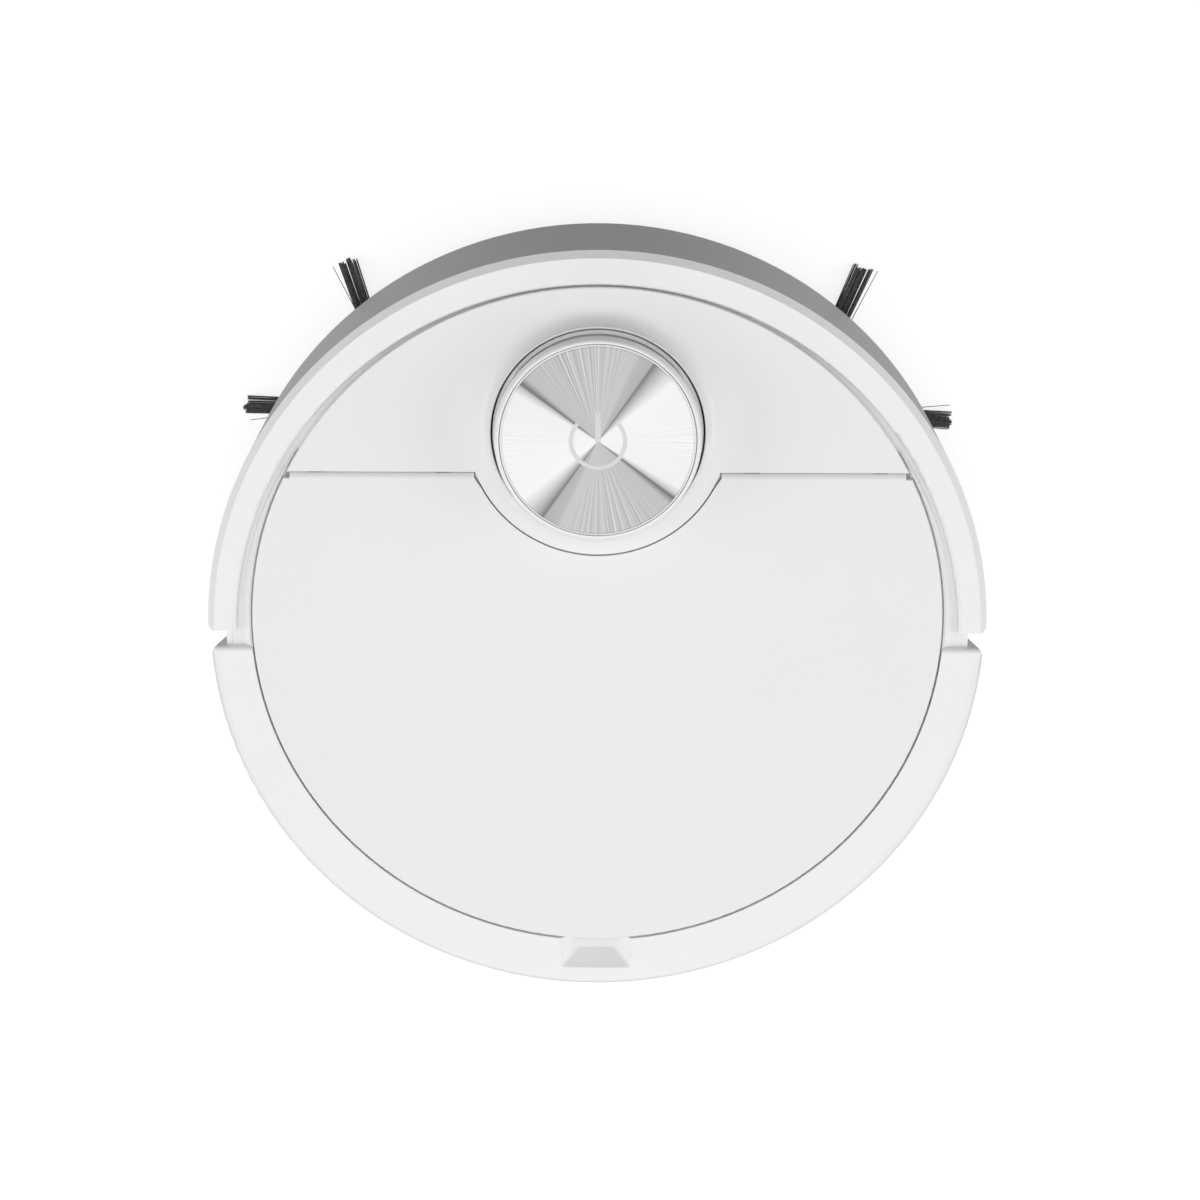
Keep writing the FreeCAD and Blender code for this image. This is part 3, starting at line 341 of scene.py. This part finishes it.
mark_grey = moulded("mark_plastic", (0.70, 0.70, 0.705), (0.68, 0.68, 0.685), 0.4, 0.0008,
                    0.000005)
mark_low = disc_top - 0.0002
mark_radius = 0.011
mark_width = 0.0017
bar_width = 0.0024
bm = bmesh.new()
inner, outer = mark_radius - mark_width / 2, mark_radius + mark_width / 2
gap = math.radians(48.0)
turned_solid(bm, [(inner, mark_low), (outer, mark_low), (outer, disc_high.z - 0.00004),
                  (outer - 0.0001, disc_high.z), (inner + 0.0001, disc_high.z),
                  (inner, disc_high.z - 0.00004)], 72,
             Matrix.Translation((0, disc_centre.y, 0)) @ Matrix.Rotation(gap - math.pi / 2, 4, "Z"),
             2 * (math.pi - gap))
bar_length = 0.0126
block(bm, (bar_width, bar_length, disc_high.z - mark_low),
      Matrix.Translation((0, disc_centre.y - bar_length / 2 + 0.0004,
                          (disc_high.z + mark_low) / 2)), 0.0001)
finished("power_mark", bm, mark_grey, "power_key")

# ------------------------------------------------------------------ scanner head
# Under the turret cap a grey drum turns with the distance scanner's two lenses.
# The drum is moulded plastic, and the lenses are polished.

scanner_grey = moulded("scanner_drum_plastic", (0.085, 0.085, 0.088), (0.07, 0.07, 0.073), 0.38,
                       0.0008, 0.00001)
wear(scanner_grey, "lidar_rotor")

lens_glass = Finish("lens_glass", (0.012, 0.010, 0.016), 0.06, Coat_Weight=1.0,
                    Coat_Roughness=0.03, IOR=1.6)
lens_glass.to("Roughness", lens_glass.spread(lens_glass.noise(900.0), 0.04, 0.10))
lens_tint = lens_glass.blend(lens_glass.noise(160.0), (0.010, 0.008, 0.014),
                             (0.020, 0.012, 0.030))
lens_glass.to("Base Color", lens_tint)
wear(lens_glass.material, "lidar_lenses", "cliff_sensors")

lens_low, lens_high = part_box("lidar_lenses")
lens_z = (lens_low.z + lens_high.z) / 2
bm = bmesh.new()
for side in (-1, 1):
    place = (Matrix.Translation((side * 0.012, lens_low.y + 0.0009, lens_z))
             @ Matrix.Rotation(math.pi / 2, 4, "X"))
    turned_solid(bm, [(0.00285, -0.0004), (0.0035, -0.0004), (0.0036, 0.0001), (0.0034, 0.0004),
                      (0.0030, 0.0004), (0.00285, 0.0001)], 40, place)
finished("lens_rims", bm, moulded("lens_rim_plastic", (0.03, 0.03, 0.031), (0.024, 0.024, 0.025),
                                  0.5, 0.0006, 0.00001), "scanner")

# ------------------------------------------------------------------ scanner drive
# A flat rubber belt runs from a small motor pulley round the drum, over a tray of
# black plastic. The ball bearing ring and the motor can are bright steel.

dark_plastic = moulded("black_plastic", (0.030, 0.030, 0.032), (0.022, 0.022, 0.024), 0.52,
                       0.0007, 0.00003)
wear(dark_plastic, "lidar_base", "fan_blower", "speaker", "brush_gearbox",
     "left_brush_gearbox", "right_brush_gearbox", "micro_switches")


def metal(name, light, dark, roughness, streaks):
    """Bare metal with fine drawn streaks and a slightly uneven tarnish."""
    finish = Finish(name, light, roughness, Metallic=1.0)
    tarnish = finish.spread(finish.noise(220.0, 4.0), 0.0, 1.0)
    finish.to("Base Color", finish.blend(tarnish, light, dark))
    along = finish.add("ShaderNodeMapping", {"Vector": finish.place, "Scale": streaks})
    drawn = finish.noise(1.0, 3.0, along.outputs["Vector"])
    finish.to("Roughness", finish.spread(drawn, roughness - 0.08, roughness + 0.12))
    finish.relief(drawn, 0.00001, 0.4)
    return finish.material


steel = metal("steel", (0.62, 0.62, 0.63), (0.50, 0.50, 0.52), 0.30, (300.0, 4000.0, 4000.0))
brass = metal("brass", (0.76, 0.62, 0.34), (0.60, 0.47, 0.25), 0.32, (2500.0, 2500.0, 300.0))
wear(steel, "lidar_bearing", "lidar_motor", "lid_hinge_pins", "wheel_pivot_pins", "caster_axle")
wear(brass, "lidar_pulley", "bushings")


def rubber(name, tone, roughness):
    """Soft rubber with a dusty bloom and a fine moulded pebble."""
    finish = Finish(name, (tone, tone, tone * 1.03), roughness, Specular_IOR_Level=0.35,
                    Sheen_Weight=0.15, Sheen_Roughness=0.5)
    bloom = finish.spread(finish.noise(55.0, 5.0), 0.0, 1.0)
    finish.to("Base Color", finish.blend(bloom, (tone * 0.75,) * 3,
                                         (tone * 1.35, tone * 1.33, tone * 1.28)))
    finish.to("Roughness", finish.spread(finish.noise(300.0), roughness - 0.08, roughness + 0.1))
    finish.relief(finish.noise(1800.0, 2.0), 0.00003, 0.6)
    return finish.material


soft_rubber = rubber("soft_rubber", 0.032, 0.72)
wear(soft_rubber, "lidar_belt", "duct_seal", "caster_wheel")

# ------------------------------------------------------------------ wound springs
# The button, the bumper and the wheels are pushed back by small springs wound
# from round steel wire. The first two close up as the button or bumper is pressed; here they are
# built at rest, each with a mesh of its own.


def coil(bm, radius, wire, low, high, turns, place):
    """A helix of round wire between two heights, with capped ends."""
    before = set(bm.verts)
    section = bmesh.ops.create_circle(
        bm, cap_ends=True, segments=8, radius=wire,
        matrix=Matrix.Translation((radius, 0, low + wire)) @ Matrix.Rotation(math.pi / 2, 4, "X"))
    face = section["verts"][0].link_faces[0]
    steps = int(turns * 24)
    rise = (high - low - 2 * wire) / steps
    bmesh.ops.spin(bm, geom=[face], cent=(0, 0, 0), axis=(0, 0, 1), dvec=(0, 0, rise),
                   angle=turns * 2 * math.pi, steps=steps)
    fresh = [vert for vert in bm.verts if vert not in before]
    bmesh.ops.transform(bm, matrix=place, verts=fresh)


spring_steel = metal("spring_steel", (0.58, 0.58, 0.60), (0.44, 0.44, 0.46), 0.28,
                     (1200.0, 1200.0, 1200.0))

low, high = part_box("button_spring")
bm = bmesh.new()
coil(bm, 0.0096, 0.0004, low.z, high.z, 2.5, Matrix.Translation((0, disc_centre.y, 0)))
wave_spring = finished("button_wave_spring", bm, spring_steel, "body", ["button_spring"])
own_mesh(wave_spring)

low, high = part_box("wheel_springs")
bm = bmesh.new()
for side in (-1, 1):
    centre = Matrix.Translation((side * (high.x - 0.0022), (low.y + high.y) / 2, 0))
    coil(bm, 0.0018, 0.00035, low.z, high.z, 8.0, centre)
finished("wheel_coil_springs", bm, spring_steel, "body", ["wheel_springs"])

low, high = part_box("bumper_springs")
spring_z = (low.z + high.z) / 2
bm = bmesh.new()
wall_reach = 0.1576
spring_angle = 22
for turn in (-spring_angle, spring_angle):
    place = (Matrix.Rotation(math.radians(turn), 4, "Z")
             @ Matrix.Translation((0, -wall_reach, spring_z))
             @ Matrix.Rotation(math.pi / 2, 4, "X"))
    coil(bm, 0.0022, 0.00035, 0.0, 0.0041, 4.0, place)
bumper_coils = finished("bumper_coil_springs", bm, spring_steel, "body",
                        ["bumper_springs"])
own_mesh(bumper_coils)

# ------------------------------------------------------------------ chassis
# The base, the wheel housings, the battery cover and the roller's frame are
# moulded in dark grey ABS with a coarse spark-eroded texture that hides scratches.

chassis_grey = moulded("chassis_plastic", (0.088, 0.089, 0.092), (0.070, 0.071, 0.074), 0.58,
                       0.0011, 0.00008)
wear(chassis_grey, "chassis", "wheel_housings", "battery_cover", "brush_guard")

chassis_low, chassis_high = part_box("chassis")
bm = bmesh.new()
for step in range(-3, 4):
    block(bm, (0.0016, 0.046, 0.0007),
          Matrix.Translation((step * 0.014, -0.08, chassis_low.z + 0.00005)), 0.0003)
cover_low, cover_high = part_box("battery_cover")
block(bm, (0.026, 0.0030, 0.0008),
      Matrix.Translation((0, cover_high.y - 0.0042, cover_low.z + 0.0001)), 0.0003)
finished("battery_cover_ribs", bm, chassis_grey, "body")

# ------------------------------------------------------------------ small metal parts
# The chassis is held by six cross-head screws. Two nickel plates under the front
# edge take the charging current and are polished by the dock's sprung strips.

wear(metal("zinc_screw", (0.55, 0.55, 0.56), (0.40, 0.40, 0.42), 0.34, (900.0, 900.0, 900.0)),
     "chassis_screws", "left_brush_screw", "right_brush_screw")
wear(metal("nickel_contact", (0.74, 0.70, 0.62), (0.62, 0.58, 0.50), 0.22,
           (200.0, 6000.0, 200.0)), "charging_contacts")

# ------------------------------------------------------------------ side brushes
# Each side brush has a black hub with five flat tufts of dark nylon bristles that
# fan out and lean down to the floor. The bristles are cut to slightly uneven lengths.

wear(moulded("brush_hub_plastic", (0.045, 0.045, 0.048), (0.036, 0.036, 0.038), 0.46, 0.0008,
             0.00002), "left_brush_hub", "right_brush_hub")

nylon = Finish("nylon_bristle", (0.075, 0.075, 0.078), 0.42, Specular_IOR_Level=0.5,
               Sheen_Weight=0.1)
nylon_mix = nylon.spread(nylon.noise(700.0, 3.0), 0.0, 1.0)
nylon.to("Base Color", nylon.blend(nylon_mix, (0.045, 0.045, 0.047), (0.135, 0.135, 0.14)))
nylon.to("Roughness", nylon.spread(nylon.noise(1500.0), 0.34, 0.55))


def strand(bm, start, end, thick, thin, sag=0.0, parts=1):
    """One bristle from start to end, tapered, that droops by sag in its middle."""
    start, end = Vector(start), Vector(end)
    aim = (end - start).to_track_quat("Z", "Y").to_matrix().to_4x4()
    root = bmesh.ops.create_circle(bm, cap_ends=True, segments=4, radius=thick,
                                   matrix=Matrix.Translation(start) @ aim)
    face = root["verts"][0].link_faces[0]
    last = start
    for part in range(1, parts + 1):
        along = part / parts
        spot = start.lerp(end, along) - Vector((0, 0, sag * 4 * along * (1 - along)))
        made = bmesh.ops.extrude_face_region(bm, geom=[face], use_keep_orig=part == 1)
        verts = [item for item in made["geom"] if isinstance(item, bmesh.types.BMVert)]
        face = [item for item in made["geom"] if isinstance(item, bmesh.types.BMFace)][0]
        bmesh.ops.translate(bm, verts=verts, vec=spot - last)
        shrink = 1 - (1 - thin / thick) / parts / (1 - (1 - thin / thick) * (along - 1 / parts))
        bmesh.ops.scale(bm, verts=verts, vec=(shrink,) * 3, space=Matrix.Translation(-spot))
        last = spot


brush_reach = 0.069
tuft_strands = 85
clumps = 5
for word, side, first in (("left", 1, 18.0), ("right", -1, 23.0)):
    hub_low, hub_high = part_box(word + "_brush_hub")
    hub = (hub_low + hub_high) / 2
    chance = random.Random(word)
    bm = bmesh.new()
    for arm in range(5):
        swing = (Matrix.Translation((hub.x, hub.y, 0))
                 @ Matrix.Rotation(math.radians(side * first + 72.0 * arm), 4, "Z"))
        clump_short = [0.0] + [chance.uniform(0.0002, 0.0022) for clump in range(clumps - 1)]
        chance.shuffle(clump_short)
        clump_lean = [chance.uniform(-0.0007, 0.0007) for clump in range(clumps)]
        for count in range(tuft_strands):
            clump = count % clumps
            across = (clump + 0.5) / clumps * 2 - 1 + chance.uniform(-0.24, 0.24)
            level = chance.uniform(-1, 1)
            ragged = clump_short[clump] + chance.random() ** 2 * 0.0013
            tip_x = across * 0.0041 + clump_lean[clump] + chance.uniform(-0.0003, 0.0003)
            if count == 0:
                tip_x = 0.0068 * (1 if chance.random() > 0.5 else -1)
            root = swing @ Vector((across * 0.0029, -0.0088, 0.0078 + level * 0.0011))
            tip = swing @ Vector((tip_x, -(brush_reach - 0.0002 - ragged),
                                  0.0027 + level * 0.0006))
            strand(bm, root, tip, 0.00024, 0.00015, chance.uniform(-0.0003, 0.0003), 3)
    finished(word + "_brush_tufts", bm, nylon.material, word + "_side_brush",
             [word + "_brush_bristles"])
    bm = bmesh.new()
    for arm in range(5):
        swing = (Matrix.Translation((hub.x, hub.y, 0.0078))
                 @ Matrix.Rotation(math.radians(side * first + 72.0 * arm), 4, "Z")
                 @ Matrix.Translation((0, -0.0108, -0.0001)))
        block(bm, (0.0078, 0.0046, 0.0040), swing, 0.0007)
    finished(word + "_brush_sockets", bm, dark_plastic, word + "_side_brush")

# ------------------------------------------------------------------ main brush
# The roller under the robot carries four V-shaped rows of nylon tufts between
# four soft rubber vanes, all wound slightly round a moulded core.

wear(dark_plastic, "main_brush_core")
low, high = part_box("main_brush_fins")
roller_y, roller_z = (low.y + high.y) / 2, (low.z + high.z) / 2
roller_end = high.x - 0.0006
roller_radius = (high.y - low.y) / 2 - 0.0003
vane_twist = math.radians(38.0)
bm = bmesh.new()
turned_solid(bm, [(0.0070, -roller_end), (0.0082, -roller_end), (0.0082, roller_end),
                  (0.0070, roller_end)], 32,
             Matrix.Translation((0, roller_y, roller_z)) @ Matrix.Rotation(math.pi / 2, 4, "Y"))
finished("roller_sleeve", bm, dark_plastic, "main_brush")

bm = bmesh.new()
stations = 24
for vane in range(4):
    corners = [bm.verts.new((-roller_end, y, z)) for y, z in (
        (-0.0014, 0.0078), (0.0014, 0.0078), (0.0007, 0.0110), (0.0006, roller_radius - 0.0004),
        (0.0, roller_radius), (-0.0006, roller_radius - 0.0004), (-0.0007, 0.0110))]
    face = bm.faces.new(corners)
    start = Matrix.Rotation(math.pi / 2 * vane, 4, "X")
    bmesh.ops.transform(bm, matrix=start, verts=corners)
    step = 2 * roller_end / stations
    for station in range(stations):
        made = bmesh.ops.extrude_face_region(bm, geom=[face], use_keep_orig=station == 0)
        verts = [item for item in made["geom"] if isinstance(item, bmesh.types.BMVert)]
        face = [item for item in made["geom"] if isinstance(item, bmesh.types.BMFace)][0]
        lean = vane_twist / stations * 2 * (1 if station < stations / 2 else -1)
        bmesh.ops.transform(bm, verts=verts, matrix=Matrix.Translation((step, 0, 0))
                            @ Matrix.Rotation(lean, 4, "X"))
bmesh.ops.translate(bm, verts=bm.verts, vec=(0, roller_y, roller_z))
finished("roller_vanes", bm, soft_rubber, "main_brush")

bm = bmesh.new()
chance = random.Random("roller")
for row in range(4):
    for spot in range(-24, 25):
        x = spot * 0.0031
        turn = math.pi / 2 * row + math.pi / 4 + vane_twist * (1 - abs(spot) / 24)
        frame_of_tuft = (Matrix.Translation((x, roller_y, roller_z))
                         @ Matrix.Rotation(turn, 4, "X"))
        for count in range(7):
            root = frame_of_tuft @ Vector((chance.uniform(-0.0007, 0.0007),
                                           chance.uniform(-0.0007, 0.0007), 0.0080))
            tip = frame_of_tuft @ Vector((chance.uniform(-0.0012, 0.0012),
                                          chance.uniform(-0.0013, 0.0013),
                                          roller_radius - chance.uniform(0.0001, 0.0009)))
            strand(bm, root, tip, 0.00018, 0.00012)
finished("roller_tufts", bm, nylon.material, "main_brush", ["main_brush_fins"])

# ------------------------------------------------------------------ drive wheels
# Each wheel has a black rim with ribs in its outer face, a rubber tyre with two
# rows of slanted lugs, and a sprung arm of glass-filled nylon with its motor.

wear(moulded("wheel_arm_nylon", (0.050, 0.050, 0.053), (0.034, 0.034, 0.036), 0.60, 0.0014,
             0.00007), "left_wheel_arm", "right_wheel_arm")
wear(moulded("wheel_rim_plastic", (0.115, 0.116, 0.120), (0.095, 0.096, 0.100), 0.48, 0.0009,
             0.00004), "left_wheel_rim", "right_wheel_rim")
tyre_rubber = rubber("tyre_rubber", 0.026, 0.80)
lug_height = 0.0016
for word, side in (("left", 1), ("right", -1)):
    low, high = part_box(word + "_tyre")
    hub = (low + high) / 2
    wheel_radius = (high.z - low.z) / 2
    half = (high.x - low.x) / 2
    ground = wheel_radius - lug_height
    across = Matrix.Translation(hub) @ Matrix.Rotation(math.pi / 2, 4, "Y")
    bm = bmesh.new()
    turned_solid(bm, [(0.0282, -half), (ground - 0.0014, -half), (ground - 0.0003, 0.0012 - half),
                      (ground, 0.0030 - half), (ground, -0.0007), (ground - 0.0006, -0.0004),
                      (ground - 0.0006, 0.0004), (ground, 0.0007), (ground, half - 0.0030),
                      (ground - 0.0003, half - 0.0012), (ground - 0.0014, half),
                      (0.0282, half)], 96, across)
    lugs = 28
    for lug in range(lugs):
        for row in (-1, 1):
            turn = 2 * math.pi * (lug + (0.5 if row > 0 else 0.0)) / lugs
            place = (Matrix.Translation(hub) @ Matrix.Rotation(turn, 4, "X")
                     @ Matrix.Translation((row * half * 0.48, 0, wheel_radius - 0.0013))
                     @ Matrix.Rotation(math.radians(24.0) * row * side, 4, "Z"))
            block(bm, (half * 0.78, 0.0031, 0.0023), place, 0.0004)
    finished(word + "_tyre_tread", bm, tyre_rubber, word + "_wheel",
             [word + "_tyre"])
    face_x = hub.x + side * half
    bm = bmesh.new()
    for rib in range(8):
        place = (Matrix.Translation((face_x - side * 0.0027, hub.y, hub.z))
                 @ Matrix.Rotation(2 * math.pi * rib / 8, 4, "X")
                 @ Matrix.Translation((0, 0, 0.0165)))
        block(bm, (0.0042, 0.0018, 0.0176), place, 0.0003)
    turned_solid(bm, [(0.0, 0.0), (0.0066, 0.0), (0.0070, -0.0004), (0.0070, -0.0020),
                      (0.0, -0.0020)], 40,
                 Matrix.Translation((face_x, hub.y, hub.z))
                 @ Matrix.Rotation(side * math.pi / 2, 4, "Y"))
    finished(word + "_wheel_ribs", bm, dark_plastic, word + "_wheel")

# ------------------------------------------------------------------ caster
# The front caster turns in a black drum let into the base. Its small wheel is
# moulded in two halves, one dark and one pale, so that a sensor can see it turn.

wear(dark_plastic, "caster_fork")
low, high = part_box("caster_wheel")
axle = (low + high) / 2
caster_radius = (high.z - low.z) / 2
pale_plastic = moulded("caster_pale_plastic", (0.62, 0.62, 0.60), (0.55, 0.55, 0.53), 0.5,
                       0.0009, 0.00003)
bm = bmesh.new()
turned_solid(bm, [(caster_radius - 0.0042, 0.0070), (0.0030, 0.0070), (0.0030, 0.0072),
                  (caster_radius - 0.0044, 0.0072)], 48,
             Matrix.Translation(axle) @ Matrix.Rotation(math.pi / 2, 4, "Y"))
finished("caster_pale_side", bm, pale_plastic, "caster_roller")

# ------------------------------------------------------------------ dust bin
# The dust bin is smoked clear plastic under a black filter frame, with a pleated
# paper filter and a folding handle by which it lifts out.

smoked = Finish("smoked_bin_plastic", (0.22, 0.23, 0.25), 0.14, Transmission_Weight=0.55,
                IOR=1.49, Specular_IOR_Level=0.5)
smoked.to("Base Color", smoked.blend(smoked.noise(30.0), (0.16, 0.17, 0.19), (0.26, 0.27, 0.29)))
smoked.to("Roughness", smoked.spread(smoked.noise(140.0, 4.0), 0.10, 0.24))
wear(smoked.material, "dust_bin")
wear(dark_plastic, "filter_frame")
wear(moulded("handle_plastic", (0.16, 0.165, 0.17), (0.13, 0.135, 0.14), 0.45, 0.0009, 0.00003),
     "bin_handle")

paper = Finish("filter_paper", (0.80, 0.79, 0.75), 0.92)
fibres = paper.spread(paper.noise(500.0, 5.0), 0.0, 1.0)
paper.to("Base Color", paper.blend(fibres, (0.68, 0.67, 0.62), (0.86, 0.85, 0.81)))
paper.to("Roughness", paper.spread(paper.noise(900.0), 0.85, 1.0))
paper.relief(paper.noise(2600.0, 3.0), 0.00005)
low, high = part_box("hepa_filter")
pleats = 30
pitch = (high.x - low.x - 0.001) / pleats
bm = bmesh.new()
ridge = []
for fold in range(2 * pleats + 1):
    deep = fold % 2
    ridge.append(bm.verts.new((low.x + 0.0005 + fold * pitch / 2, low.y + 0.0001,
                               low.z + 0.0012 if deep else high.z - 0.0003)))
folds = [bm.edges.new(pair) for pair in zip(ridge, ridge[1:])]
made = bmesh.ops.extrude_edge_only(bm, edges=folds)
moved = [item for item in made["geom"] if isinstance(item, bmesh.types.BMVert)]
bmesh.ops.translate(bm, verts=moved, vec=(0, high.y - low.y - 0.0002, 0))
bmesh.ops.solidify(bm, geom=bm.faces[:], thickness=0.0003)
for strip in range(1, 4):
    block(bm, (high.x - low.x - 0.001, 0.0012, 0.0005),
          Matrix.Translation(((low.x + high.x) / 2, low.y + (high.y - low.y) * strip / 4,
                              high.z - 0.0003)), 0.0001)
finished("pleated_filter", bm, paper.material, "body", ["hepa_filter"], 25.0)

# ------------------------------------------------------------------ battery and board
# Twelve wrapped cells lie in the bay in a sleeve of blue film. The main board
# above the roller is lacquered green and carries small chips.

film = Finish("blue_cell_film", (0.03, 0.13, 0.36), 0.28, Coat_Weight=0.6, Coat_Roughness=0.2)
film.to("Base Color", film.blend(film.spread(film.noise(40.0), 0.0, 1.0), (0.02, 0.10, 0.30),
                                 (0.04, 0.16, 0.42)))
film.to("Roughness", film.spread(film.noise(350.0, 4.0), 0.20, 0.40))
film.relief(film.noise(180.0, 4.0), 0.0003)
low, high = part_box("battery_pack")
bm = bmesh.new()
cells = 6
cell_pitch = (high.x - low.x) / cells
for cell in range(cells):
    for level in (0.0, 1.0):
        height = (high.z - low.z) / 2
        spot = ((low.x + cell_pitch * (cell + 0.5)), (low.y + high.y) / 2,
                low.z + height * (level + 0.5))
        block(bm, (cell_pitch * 0.985, high.y - low.y - 0.0004, height * 0.985),
              Matrix.Translation(spot), 0.0042)
finished("wrapped_cells", bm, film.material, "body", ["battery_pack"])

board = Finish("board_lacquer", (0.02, 0.14, 0.06), 0.35, Coat_Weight=0.5, Coat_Roughness=0.15)
tracks = board.add("ShaderNodeTexBrick", {
    "Vector": board.place, "Scale": 90.0, "Mortar Size": 0.05, "Color1": (0.018, 0.13, 0.055, 1),
    "Color2": (0.026, 0.17, 0.075, 1), "Mortar": (0.05, 0.25, 0.12, 1)})
board.to("Base Color", tracks.outputs["Color"])
board.to("Roughness", board.spread(board.noise(200.0), 0.28, 0.45))
wear(board.material, "main_board")
board_top = 0.0616
chance = random.Random("board")
bm = bmesh.new()
for column in range(9):
    for line in range(5):
        x = -0.070 + column * 0.0172 + chance.uniform(-0.002, 0.002)
        y = -0.036 + line * 0.0180 + chance.uniform(-0.002, 0.002)
        size = chance.choice(((0.0044, 0.0044, 0.0012), (0.0062, 0.0040, 0.0010),
                              (0.0022, 0.0036, 0.0016)))
        block(bm, size, Matrix.Translation((x, y, board_top + size[2] / 2 - 0.0001)), 0.0002)
finished("board_chips", bm, dark_plastic, "body")

# ------------------------------------------------------------------ exhaust grille
# The fan blows out through a slotted insert in the rear side of the shell, moulded
# in the same white plastic.

wear(shell_white, "exhaust_grille")
